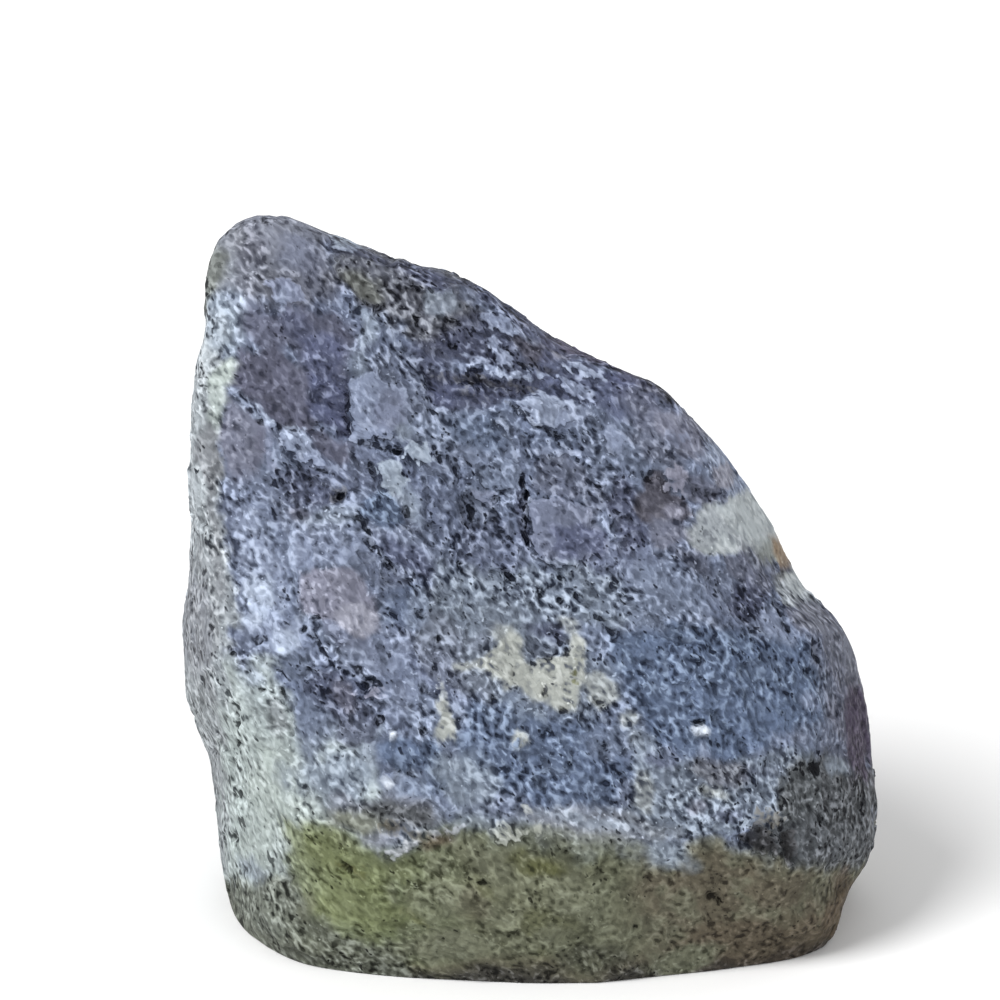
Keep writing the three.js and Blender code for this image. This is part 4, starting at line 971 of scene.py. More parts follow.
@dataclass
class StoneSkin:
    """The stone's fine surface: a smooth skin over the solid, broken by relief, with its minerals on it."""

    subdivisions: int = 2
    rest_height: float = 0.02  # what lies no higher than this is the flat underside
    fade_height: float = 1.2  # relief fades in over this height above the underside
    rough_wave: float = 4.6  # broken rock
    rough_height: float = 0.18
    grain_wave: float = 1.1
    grain_height: float = 0.05
    chip_stretch: float = 1.6
    chips: tuple[ChipLayer, ...] = (
        ChipLayer(6.5, 0.10, 0.26, 2.0, 0.05),
        ChipLayer(2.9, 0.06, 0.13, 12.0, 0.09),
        ChipLayer(1.3, 0.025, 0.045, 22.0, 0.08),
    )
    pit_spacing: float = 2.3
    pit_lot: float = 0.7  # cells whose lot is above this hold a pit
    pit_depth: float = 0.3
    smoothing_rounds: int = 4  # how far round a point its hollow is measured

    def build(self, solid: bpy.types.Object) -> bpy.types.Object:
        """Make the fine skin.

        Args:
            solid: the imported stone.

        Returns:
            The skin as an object of its own.
        """
        stone = self.smooth_copy(solid)
        mesh = stone.data
        points = self.read(mesh.vertices, "co") / METRES
        normals = self.read(mesh.vertex_normals, "vector")
        rock = RockNoise(points)
        front = FrontField(rock, normals)
        minerals = MineralMap(rock, normals, front)
        minerals.lay_all()
        height, tone = self.relief(rock)
        height *= minerals.coarseness
        height += self.front_relief(front)
        height *= smoothstep(self.rest_height, self.fade_height, points[:, 2])
        points = points + normals * height[:, None]
        points[:, 2] = np.maximum(points[:, 2], 0.0)
        mesh.vertices.foreach_set("co", (points * METRES).astype(np.float32).ravel())
        mesh.update()
        self.set_shading(mesh, points)
        minerals.store(mesh, 1.0 + (tone - 1.0) * minerals.coarseness, self.hollows(mesh, points))
        return stone

    def smooth_copy(self, solid: bpy.types.Object) -> bpy.types.Object:
        """Copy the solid and round its facets off, with the underside's edge kept.

        Args:
            solid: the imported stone.

        Returns:
            The rounded copy.
        """
        coarse = solid.data.copy()
        coarse.name = "raw_iolite_coarse"
        coarse.materials.clear()
        stone = bpy.data.objects.new("raw_iolite_skin", coarse)
        bpy.context.scene.collection.objects.link(stone)
        self.weld(coarse)
        self.crease_underside(coarse)
        smoother = stone.modifiers.new("rounding", "SUBSURF")
        smoother.levels = self.subdivisions
        smoother.render_levels = self.subdivisions
        evaluated = stone.evaluated_get(bpy.context.evaluated_depsgraph_get())
        fine = bpy.data.meshes.new_from_object(evaluated)
        fine.name = "raw_iolite_skin_mesh"
        stone.modifiers.clear()
        stone.data = fine
        return stone

    @staticmethod
    def weld(mesh: bpy.types.Mesh) -> None:
        """Join vertices that lie on each other, and drop what the import added."""
        shape = bmesh.new()
        shape.from_mesh(mesh)
        bmesh.ops.remove_doubles(shape, verts=shape.verts, dist=1e-6)
        shape.to_mesh(mesh)
        shape.free()
        for layer in list(mesh.uv_layers):
            mesh.uv_layers.remove(layer)

    def crease_underside(self, mesh: bpy.types.Mesh) -> None:
        """Keep the edge between the flat underside and the rest sharp through the rounding."""
        limit = self.rest_height * METRES
        low = {vertex.index for vertex in mesh.vertices if vertex.co.z < limit}
        beside: dict[tuple[int, int], list[bool]] = {}
        for polygon in mesh.polygons:
            flat = all(vertex in low for vertex in polygon.vertices)
            for key in polygon.edge_keys:
                beside.setdefault(key, []).append(flat)
        crease = mesh.attributes.new("crease_edge", "FLOAT", "EDGE")
        for edge in mesh.edges:
            sides = beside[edge.key]
            crease.data[edge.index].value = 1.0 if any(sides) and not all(sides) else 0.0

    @staticmethod
    def read(items: bpy.types.bpy_prop_collection, what: str) -> np.ndarray:
        """Read a vector of each item of a mesh."""
        values = np.empty(len(items) * 3, np.float32)
        items.foreach_get(what, values)
        return values.reshape(-1, 3).astype(float)

    def relief(self, rock: RockNoise) -> tuple[np.ndarray, np.ndarray]:
        """Work out the relief that the rock has all round: breakage, chips, grain and scattered pits.

        Args:
            rock: noise at the skin's points.

        Returns:
            The height at each point in millimetres, and how light or dark its chips are.
        """
        height = self.rough_height * rock.turbulence(self.rough_wave, 3, 5.0, 1.3)
        height += self.grain_height * rock.turbulence(self.grain_wave, 2, 17.0, 2.0)
        tone = np.ones(len(rock.points))
        bent = rock.bent(2.4, 0.9, 3.0)
        for layer in self.chips:
            cells = bent.cells(layer.size, layer.offset, self.chip_stretch)
            height += cells.chips(layer.step, layer.tilt)
            tone += layer.shade * (2.0 * lots(cells.middles, 5.0) - 1.0)
        pits = rock.cells(self.pit_spacing, 9.0, 1.4)
        lot = lots(pits.middles, 1.0)
        bowl = smoothstep(1.0, 0.25, pits.nearest / (0.1 + 0.16 * lot))
        height -= self.pit_depth * (lot > self.pit_lot) * bowl
        return height, tone

    @staticmethod
    def front_relief(front: FrontField) -> np.ndarray:
        """Work out the relief of the front's own flakes, seams and pits, in millimetres."""
        height = np.zeros(len(front.across))
        for patch in FRONT_PATCHES:
            if patch.lift:
                height += front.lift(patch)
        for seam in FRONT_SEAMS:
            height += seam.height * front.facing * smoothstep(0.0, 0.8, front.seam(seam))
        for pit in FRONT_PITS:
            height -= pit.depth * front.facing * smoothstep(-0.1, 0.5, front.pit(pit))
        return height

    def set_shading(self, mesh: bpy.types.Mesh, points: np.ndarray) -> None:
        """Shade the skin smooth, and its underside flat."""
        low = points[:, 2] < self.rest_height
        corners = np.empty(len(mesh.loops), np.int32)
        mesh.loops.foreach_get("vertex_index", corners)
        starts = np.empty(len(mesh.polygons), np.int32)
        mesh.polygons.foreach_get("loop_start", starts)
        flat = np.logical_and.reduceat(low[corners], starts)
        mesh.polygons.foreach_set("use_smooth", ~flat)
        mesh.update()

    def hollows(self, mesh: bpy.types.Mesh, points: np.ndarray) -> np.ndarray:
        """Work out how deep each point lies among its neighbours: above 0 in a hollow, below 0 on an edge.

        Args:
            mesh: the skin, for its edges and normals.
            points: its points, in millimetres.

        Returns:
            The depth in millimetres, smoothed a little.
        """
        edges = np.empty(len(mesh.edges) * 2, np.int32)
        mesh.edges.foreach_get("vertices", edges)
        one, other = edges.reshape(-1, 2).T
        count = np.bincount(edges, minlength=len(points)).astype(float)

        def around(values: np.ndarray) -> np.ndarray:
            """Average each point's neighbours."""
            total = np.zeros_like(values)
            np.add.at(total, one, values[other])
            np.add.at(total, other, values[one])
            return total / count[:, None]

        wide = points
        for _ in range(self.smoothing_rounds):
            wide = around(wide)
        normals = self.read(mesh.vertex_normals, "vector")
        depth = ((wide - points) * normals).sum(axis=1)[:, None]
        return (0.6 * depth + 0.4 * around(depth))[:, 0]


def share_out(shares: dict[Mineral, float], lot: np.ndarray) -> Iterator[tuple[Mineral, np.ndarray]]:
    """Share points out among minerals by the lot of the cell that each is in.

    Args:
        shares: how much of the cells each mineral gets, adding up to 1 at most.
        lot: each point's lot, from 0 to 1.

    Yields:
        Each mineral, and which points it gets.
    """
    low = 0.0
    for mineral, share in shares.items():
        yield mineral, (lot >= low) & (lot < low + share)
        low += share


class MineralMap:
    """Which mineral shows where, kept on the skin's vertices for the material to read."""

    STUDIO_LIGHT = 1.28  # how much brighter than its own colour the lit front looks
    FAR = 3.0  # a distance that is well outside every flake, in millimetres
    LIT_SIDE = (0.7, 0.7)  # the side of the flakes that gets painted highlights, across and up; painted shadows lie along the other
    LEE_STEP = 0.2  # how far towards that side a flake's edge is looked for, in millimetres
    SOFT_BLUR = 0.45  # a patch whose edge is at least this wide is soft, in millimetres
    # A mineral's row holds three colours and then four numbers.
    COLOURS = {"ground": slice(0, 3), "pale_grain": slice(3, 6), "dark_grain": slice(6, 9)}
    PALE_SHARE, DARK_SHARE, ROUGHNESS, GRIT = 9, 10, 11, 12
    NESTS = {
        Mineral.DEEP_BLUE: 0.20,
        Mineral.VIOLET: 0.10,
        Mineral.LILAC: 0.12,
        Mineral.SALT: 0.12,
        Mineral.MICA: 0.10,
        Mineral.ROSE: 0.06,
        Mineral.CREAM: 0.04,
        Mineral.NIGHT: 0.10,
        Mineral.STEEL: 0.16,
    }
    SIDE_FLAKES = {
        Mineral.LILAC: 0.14,
        Mineral.PALE_LILAC: 0.05,
        Mineral.GREY_LILAC: 0.11,
        Mineral.DEEP_BLUE: 0.08,
        Mineral.GREEN_GREY: 0.05,
        Mineral.QUARTZ: 0.03,
    }

    def __init__(self, rock: RockNoise, normals: np.ndarray, front: FrontField) -> None:
        """Start with one mineral everywhere.

        Args:
            rock: noise at the skin's points.
            normals: the smooth skin's normals, before the relief.
            front: where the points show on the front.
        """
        self.rock = rock
        self.normals = normals
        self.front = front
        count = len(rock.points)
        self.under = self.as_row(Mineral.IOLITE)[None, :].repeat(count, axis=0)
        self.over = self.under.copy()
        self.depth = np.full(count, -self.FAR)
        self.share = np.zeros(count)
        self.lee = np.zeros(count)
        self.crack = np.full(count, -self.FAR)

    @classmethod
    def as_row(cls, mineral: Mineral) -> np.ndarray:
        """Put a mineral's values in one row: three colours, two shares, roughness and grit."""
        finish = mineral.value
        colours = np.array([linear(colour) for colour in (finish.ground, finish.pale, finish.dark)]).ravel()
        values = (finish.pale_share, finish.dark_share, finish.roughness, finish.grit)
        return np.array([*(colours / cls.STUDIO_LIGHT), *values])

    @property
    def off_front(self) -> np.ndarray:
        """What to take off the depths of the front's outlines, so that they end where the front does."""
        return self.FAR * (1.0 - self.front.facing)

    def lay(self, mineral: Mineral, cover: np.ndarray) -> None:
        """Lay a mineral over what is there, as far as it covers each point."""
        row = self.as_row(mineral)[None, :]
        for layer in (self.under, self.over):
            layer += cover[:, None] * (row - layer)

    def inlay(
        self, mineral: Mineral, depth: np.ndarray, strength: float, lee: np.ndarray | float = 0.0
    ) -> None:
        """Lay a mineral with a sharp outline over what is there.

        Args:
            mineral: the mineral.
            depth: how far inside the outline each point lies, in millimetres, below 0 outside.
            strength: how fully it covers what lies under it.
            lee: how much the outline's nearest side is turned away from the lit side, from -1 to 1.
        """
        near = (depth > -0.5 * self.FAR) & ((depth > self.depth) | (depth > 0.0))
        self.over[near] = self.as_row(mineral)
        self.share[near] = strength
        self.lee[near] = np.broadcast_to(lee, near.shape)[near]
        self.depth = np.maximum(self.depth, depth)

    def lay_patch(self, patch: Patch | Flake) -> None:
        """Lay a patch, with a sharp outline when its edge is narrow."""
        if patch.blur >= self.SOFT_BLUR:
            self.lay(patch.mineral, patch.strength * self.front.cover(patch))
            return
        depth = patch.depth(self.front)
        across, up = (self.LEE_STEP * share for share in self.LIT_SIDE)
        lee = (patch.depth(self.front.moved(across, up)) - depth) / self.LEE_STEP
        lee = np.clip(lee, -1.0, 1.0) * min(1.0, 5.0 * abs(patch.lift))
        self.inlay(patch.mineral, depth - self.off_front, patch.strength, lee)

    @property
    def coarseness(self) -> np.ndarray:
        """How rough each point's mineral breaks: 1 for the roughest, less for a smooth face."""
        shown = self.share * smoothstep(-0.2, 0.2, self.depth)
        under = self.under[:, self.GRIT]
        grit = under + shown * (self.over[:, self.GRIT] - under)
        return 0.25 + 0.75 * smoothstep(0.3, 1.0, grit)

    def lay_all(self) -> None:
        """Lay the minerals over each other."""
        self.lay_nests()
        self.lay_faces()
        for patch in FRONT_PATCHES:
            self.lay_patch(patch)
        for seam in FRONT_SEAMS:
            inside = self.front.seam(seam)
            if seam.soft:
                self.lay(seam.mineral, seam.strength * self.front.facing * smoothstep(0.0, 0.8, inside))
            elif seam.mineral is Mineral.PIT:
                self.crack = np.maximum(self.crack, seam.width * inside)
            else:
                self.inlay(seam.mineral, seam.width * inside - self.off_front, seam.strength)
        for pit in FRONT_PITS:
            self.crack = np.maximum(self.crack, min(pit.size) * self.front.pit(pit))
        self.crack -= self.off_front
        self.lay_flakes()
        self.lay_cracks()
        self.lay_spots()

    def lay_flakes(self) -> None:
        """Lay sharp flakes of some millimetres on the sides that the front's own flakes leave free."""
        size = 5.0
        flakes = self.rock.bent(3.0, 1.4, 161.0).bent(0.9, 0.4, 171.0).cells(size, 55.0, 1.7)
        lot = lots(flakes.middles, 6.0)
        depth = 0.5 * size * (flakes.second - flakes.nearest) - 0.35 - self.FAR * self.front.facing
        depth -= self.FAR * smoothstep(17.0, 13.0, self.rock.points[:, 2])
        for mineral, here in share_out(self.SIDE_FLAKES, lot):
            self.inlay(mineral, np.where(here, depth, -self.FAR), 0.75)

    def lay_cracks(self) -> None:
        """Lay short broken cracks all round."""
        line = 2.2 * abs(self.rock.turbulence(5.6, 2, 341.0, 1.8))
        gap = 0.5 * smoothstep(0.25, -0.1, self.rock.sample(4.2, 351.0, 1.4))
        self.crack = np.maximum(self.crack, 0.22 - line - gap - 0.4 * self.front.facing)

    def lay_spots(self) -> None:
        """Lay dark spots on the pale left face."""
        size = 2.1
        spots = self.rock.cells(size, 91.0, 1.5)
        lot = lots(spots.middles, 3.0)
        left = smoothstep(0.5, 0.75, -self.normals[:, 0])
        depth = 0.35 + 0.35 * lot - size * spots.nearest - self.FAR * (1.0 - left)
        self.crack = np.maximum(self.crack, np.where(lot > 0.35, depth, -self.FAR))

    def lay_nests(self) -> None:
        """Lay the minerals that show on every side, in nests of some millimetres."""
        nests = self.rock.bent(6.0, 2.4, 101.0).bent(1.6, 0.5, 141.0).cells(8.0, 51.0, 1.6)
        inside = smoothstep(0.02, 0.16, nests.second - nests.nearest)
        lot = lots(nests.middles, 1.0)
        aside = 0.95 - 0.75 * self.front.facing
        for mineral, here in share_out(self.NESTS, lot):
            self.lay(mineral, aside * inside * here)
        bands = self.rock.turbulence(7.0, 2, 61.0, 2.2)
        self.lay(Mineral.STEEL, 0.5 * smoothstep(0.1, 0.5, bands))
        self.lay(Mineral.INDIGO, 0.35 * smoothstep(-0.2, -0.6, bands))
        behind = 1.0 - self.front.facing
        zones = self.rock.turbulence(13.0, 2, 71.0, 1.4)
        self.lay(Mineral.SALT, 0.7 * behind * smoothstep(0.12, 0.42, zones))
        self.lay(Mineral.VIOLET, 0.7 * behind * smoothstep(-0.16, -0.44, zones))

    def lay_faces(self) -> None:
        """Lay the weathered crusts of whole faces: pale on the left, olive and brown round the foot."""
        broad = self.rock.sample(9.0, 201.0)
        middle = self.rock.turbulence(3.4, 2, 211.0)
        x, _, z = self.normals.T
        height = self.rock.points[:, 2] + 1.6 * broad + 0.9 * middle
        left = smoothstep(0.42, 0.72, -x + 0.12 * middle)
        self.lay(Mineral.SAGE, 0.9 * left * smoothstep(64.0, 56.0, height))
        self.lay(Mineral.ASH, 0.6 * smoothstep(0.8, 0.96, -x + 0.1 * middle))
        corner = smoothstep(29.0, 21.0, height) * smoothstep(0.22, 0.55, -x + 0.14 * middle)
        self.lay(Mineral.MINT, 0.9 * corner)
        self.lay(Mineral.SLATE, 0.5 * smoothstep(0.55, 0.8, x + 0.3 * middle))
        top = smoothstep(0.35, 0.7, x + 0.3 * z + 0.1 * middle) * smoothstep(46.0, 54.0, height)
        self.lay(Mineral.NIGHT, 0.6 * top)
        self.lay_foot(height, middle)

    def lay_foot(self, height: np.ndarray, middle: np.ndarray) -> None:
        """Lay the stains of the foot, olive at the left and brown at the right, and a painted shade that
        darkens the very bottom.

        Args:
            height: the height of each point, made uneven.
            middle: noise of some millimetres.
        """
        steep = smoothstep(0.25, 0.0, self.normals[:, 2] + 0.05 * middle)
        elsewhere = smoothstep(15.0, 10.0, height + 1.8 * middle) * steep
        facing = self.front.facing
        foot = facing * self.front.foot() + (1.0 - facing) * elsewhere
        foot *= smoothstep(0.8, 0.5, -self.normals[:, 0])
        across = self.front.across + 2.0 * middle
        self.lay(Mineral.OLIVE, 0.9 * foot)
        self.lay(Mineral.GREEN_BROWN, 0.95 * foot * smoothstep(-14.0, -4.0, across))
        self.lay(Mineral.UMBER, 0.95 * foot * smoothstep(7.0, 15.0, across))
        self.lay(Mineral.GREEN_BROWN, 0.6 * foot * smoothstep(-20.0, -26.0, across))
        streaks = self.rock.turbulence(2.6, 3, 231.0, 2.6)
        self.lay(Mineral.MOULD, 0.5 * foot * smoothstep(0.05, 0.5, streaks))
        self.lay(Mineral.MOSS, 0.35 * foot * smoothstep(-0.1, -0.55, streaks) * smoothstep(8.0, 2.0, across))
        # painted shade: the lowest millimetres are darkened, umber and then near-black, where shade falls
        # towards the floor
        self.lay(Mineral.UMBER, 0.6 * smoothstep(3.0, 1.2, height))
        self.lay(Mineral.CHAR, 0.75 * smoothstep(1.9, 0.3, height))

    def store(self, mesh: bpy.types.Mesh, tone: np.ndarray, hollow: np.ndarray) -> None:
        """Write the laid minerals to the mesh.

        Args:
            mesh: the skin.
            tone: how light or dark each point's chips are.
            hollow: how deep each point lies among its neighbours.
        """
        lively = 1.0 + 0.5 * self.rock.turbulence(4.4, 2, 301.0, 1.5)
        cracked = 1.0 + 0.6 * self.rock.turbulence(3.2, 2, 331.0, 1.5)
        vigour = np.clip(0.79 + 1.0 * self.rock.turbulence(3.2, 2, 361.0, 1.5), 0.36, 1.0)
        numbers = {
            "tone": tone,
            "vigour": vigour,
            "hollow": hollow,
            "flake_depth": self.depth,
            "flake_share": self.share,
            "flake_lee": self.lee,
            "crack_depth": self.crack,
        }
        for layer, prefix in ((self.under, ""), (self.over, "flake_")):
            for name, columns in self.COLOURS.items():
                colour = mesh.attributes.new(prefix + name, "FLOAT_COLOR", "POINT")
                values = np.ones((len(layer), 4), np.float32)
                values[:, :3] = layer[:, columns]
                colour.data.foreach_set("color", values.ravel())
            numbers[prefix + "pale_share"] = layer[:, self.PALE_SHARE] * lively
            numbers[prefix + "dark_share"] = layer[:, self.DARK_SHARE] * cracked
            numbers[prefix + "roughness"] = layer[:, self.ROUGHNESS]
            numbers[prefix + "grit"] = layer[:, self.GRIT]
        for name, values in numbers.items():
            number = mesh.attributes.new(name, "FLOAT", "POINT")
            number.data.foreach_set("value", values.astype(np.float32))


class NodeSheet:
    """A short way to place nodes and join them."""

    def __init__(self, tree: bpy.types.NodeTree) -> None:
        """Start on a tree.

        Args:
            tree: the material's or the group's node tree.
        """
        self.tree = tree

    def feed(self, socket: Socket, value: object) -> None:
        """Give a socket a value, or join another socket to it."""
        if isinstance(value, Socket):
            self.tree.links.new(value, socket)
        else:
            socket.default_value = value

    def texture(self, kind: str, place: Socket, scale: float, **inputs: float) -> bpy.types.Node:
        """Place a texture.

        Args:
            kind: Noise or Voronoi.
            place: where it is read.
            scale: how many waves or cells it has to one unit of the place.
            inputs: its other inputs, by name.

        Returns:
            The texture's node.
        """
        node = self.tree.nodes.new(f"ShaderNodeTex{kind}")
        self.feed(node.inputs["Vector"], place)
        node.inputs["Scale"].default_value = scale
        for name, value in inputs.items():
            node.inputs[name].default_value = value
        return node

    def placed(self, kind: str, operation: str, values: tuple[object, ...]) -> bpy.types.Node:
        """Place a Math or Vector Math node and feed its values."""
        node = self.tree.nodes.new(f"ShaderNode{kind}")
        node.operation = operation
        for socket, value in zip(node.inputs, values):
            self.feed(socket, value)
        return node

    def number(self, operation: str, *values: object) -> Socket:
        """Place a Math node and give its result."""
        return self.placed("Math", operation, values).outputs[0]

    def vector(self, operation: str, *values: object) -> Socket:
        """Place a Vector Math node and give its vector, or its number where it makes one."""
        made = "Value" if operation == "DOT_PRODUCT" else "Vector"
        return self.placed("VectorMath", operation, values).outputs[made]

    def scaled(self, vector: object, factor: object) -> Socket:
        """Scale a vector or a colour."""
        node = self.tree.nodes.new("ShaderNodeVectorMath")
        node.operation = "SCALE"
        self.feed(node.inputs[0], vector)
        self.feed(node.inputs["Scale"], factor)
        return node.outputs["Vector"]

    def eased(self, value: object, low: object, high: object, start: float = 0.0, end: float = 1.0) -> Socket:
        """Ease a value from one range to another, smoothly.

        Args:
            value: the value.
            low: where the easing starts.
            high: where it ends.
            start: the result up to there.
            end: the result from there on.

        Returns:
            The eased value.
        """
        node = self.tree.nodes.new("ShaderNodeMapRange")
        node.interpolation_type = "SMOOTHSTEP"
        for socket, given in zip(node.inputs, (value, low, high, start, end)):
            self.feed(socket, given)
        return node.outputs["Result"]

    def mixed(self, share: object, one: object, other: object) -> Socket:
        """Mix two colours."""
        node = self.tree.nodes.new("ShaderNodeMix")
        node.data_type = "RGBA"
        self.feed(node.inputs[0], share)
        self.feed(node.inputs[6], one)
        self.feed(node.inputs[7], other)
        return node.outputs[2]

    def attribute(self, name: str, output: str = "Fac") -> Socket:
        """Read an attribute of the mesh."""
        node = self.tree.nodes.new("ShaderNodeAttribute")
        node.attribute_name = name
        return node.outputs[output]

    def group(self, tree: bpy.types.NodeTree, **inputs: object) -> bpy.types.Node:
        """Place a group and feed its inputs, whose names are given with underscores."""
        node = self.tree.nodes.new("ShaderNodeGroup")
        node.node_tree = tree
        for name, value in inputs.items():
            self.feed(node.inputs[name.replace("_", " ")], value)
        return node


class ShaderGroup:
    """A node group that is built once, on first use."""

    name = ""
    inputs: tuple[tuple[str, str], ...] = ()
    outputs: tuple[tuple[str, str], ...] = ()

    @classmethod
    def tree(cls) -> bpy.types.NodeTree:
        """Give the group's tree, built on first use."""
        known = bpy.data.node_groups.get(cls.name)
        if known:
            return known
        tree = bpy.data.node_groups.new(cls.name, "ShaderNodeTree")
        for name, kind in cls.inputs:
            tree.interface.new_socket(name, in_out="INPUT", socket_type=f"NodeSocket{kind}")
        for name, kind in cls.outputs:
            tree.interface.new_socket(name, in_out="OUTPUT", socket_type=f"NodeSocket{kind}")
        given = tree.nodes.new("NodeGroupInput").outputs
        result = tree.nodes.new("NodeGroupOutput").inputs
        sheet = NodeSheet(tree)
        for name, value in cls.wire(sheet, given).items():
            sheet.feed(result[name], value)
        return tree

    @classmethod
    def wire(cls, sheet: NodeSheet, given: Sockets) -> dict[str, Socket]:
        """Place the group's nodes and give its outputs by name."""
        raise NotImplementedError


class GrainPlace(ShaderGroup):
    """Turns a place in metres into one counted in grains, bent a little and drawn out along the rock."""

    name = "grain place"
    inputs = (("Vector", "Vector"), ("Grain Size", "Float"), ("Stretch", "Float"), ("Bend", "Float"))
    outputs = (("Place", "Vector"),)
    WAVES = 0.5  # of the bend, to a millimetre

    @classmethod
    def wire(cls, sheet: NodeSheet, given: Sockets) -> dict[str, Socket]:
        """Place the group's nodes.

        Args:
            sheet: where they go.
            given: a place in metres, the grains' size in millimetres, how many times longer they are along
                the rock, and how far the place is bent, in millimetres.

        Returns:
            Place, in grains.
        """
        millimetres = sheet.scaled(given["Vector"], 1.0 / METRES)
        bend = sheet.texture("Noise", millimetres, cls.WAVES, Detail=1.0).outputs["Color"]
        shift = sheet.scaled(sheet.vector("SUBTRACT", bend, (0.5, 0.5, 0.5)), given["Bend"])
        bent = sheet.vector("ADD", millimetres, shift)
        along = sheet.vector("DOT_PRODUCT", bent, tuple(GRAIN))
        shrink = sheet.number("SUBTRACT", 1.0, sheet.number("DIVIDE", 1.0, given["Stretch"]))
        back = sheet.scaled(tuple(GRAIN), sheet.number("MULTIPLY", along, shrink))
        drawn_out = sheet.vector("SUBTRACT", bent, back)
        return {"Place": sheet.scaled(drawn_out, sheet.number("DIVIDE", 1.0, given["Grain Size"]))}


class RockGrain(ShaderGroup):
    """The grain of the rock: soft flecks, and flakes with a tone each."""

    name = "rock grain"
    inputs = (("Place", "Vector"),)
    outputs = (("Value", "Float"), ("Flake", "Float"))
    BEND = 0.8  # how far the flakes' outlines are bent
    FLAKES = 0.9  # to one fleck
    FLECK_TONE = 2.1  # how much the flecks and the flakes tell in the tone
    FLAKE_TONE = 0.28

    @classmethod
    def wire(cls, sheet: NodeSheet, given: Sockets) -> dict[str, Socket]:
        """Place the group's nodes.

        Args:
            sheet: where they go.
            given: the place, in grains.

        Returns:
            Value, the grain's tone, about 0 to 1, and Flake, a number for each flake.
        """
        cloud = sheet.texture("Noise", given["Place"], 1.0, Detail=0.7, Roughness=0.5)
        shift = sheet.scaled(sheet.vector("SUBTRACT", cloud.outputs["Color"], (0.5, 0.5, 0.5)), cls.BEND)
        mosaic = sheet.texture("Voronoi", sheet.vector("ADD", given["Place"], shift), cls.FLAKES)
        lot = sheet.tree.nodes.new("ShaderNodeSeparateColor")
        sheet.feed(lot.inputs[0], mosaic.outputs["Color"])
        fleck = sheet.number("SUBTRACT", cloud.outputs["Fac"], 0.5)
        value = sheet.number("MULTIPLY_ADD", fleck, cls.FLECK_TONE, 0.5)
        flake = sheet.number("SUBTRACT", lot.outputs[0], 0.5)
        value = sheet.number("MULTIPLY_ADD", flake, cls.FLAKE_TONE, value)
        return {"Value": value, "Flake": lot.outputs[1]}


class RockSpecks(ShaderGroup):
    """Small sharp specks of the rock, gathered in clusters, such as pore specks and glints."""

    name = "rock specks"
    inputs = (("Place", "Vector"), ("Share", "Float"))
    outputs = (("Speck", "Float"),)
    CROWDS = 0.17  # to one speck
    CROWDING = 0.5
    LIMIT = 0.76  # the value above which specks show where the share is nil
    SPREAD = 0.5  # how far it falls where the share is whole
    EDGE = 0.14

    @classmethod
    def wire(cls, sheet: NodeSheet, given: Sockets) -> dict[str, Socket]:
        """Place the group's nodes.

        Args:
            sheet: where they go.
            given: the place, in specks, and how much of the surface they cover.

        Returns:
            Speck, their mask.
        """
        crowd = sheet.texture("Noise", given["Place"], cls.CROWDS, Detail=2.0).outputs["Fac"]
        dots = sheet.texture("Noise", given["Place"], 1.0, Detail=1.0).outputs["Fac"]
        wide = sheet.number("MULTIPLY", sheet.number("SUBTRACT", crowd, 0.5), cls.CROWDING)
        limit = sheet.number("SUBTRACT", cls.LIMIT, sheet.number("MULTIPLY", given["Share"], cls.SPREAD))
        speck = sheet.eased(sheet.number("ADD", dots, wide), limit, sheet.number("ADD", limit, cls.EDGE))
        return {"Speck": speck}


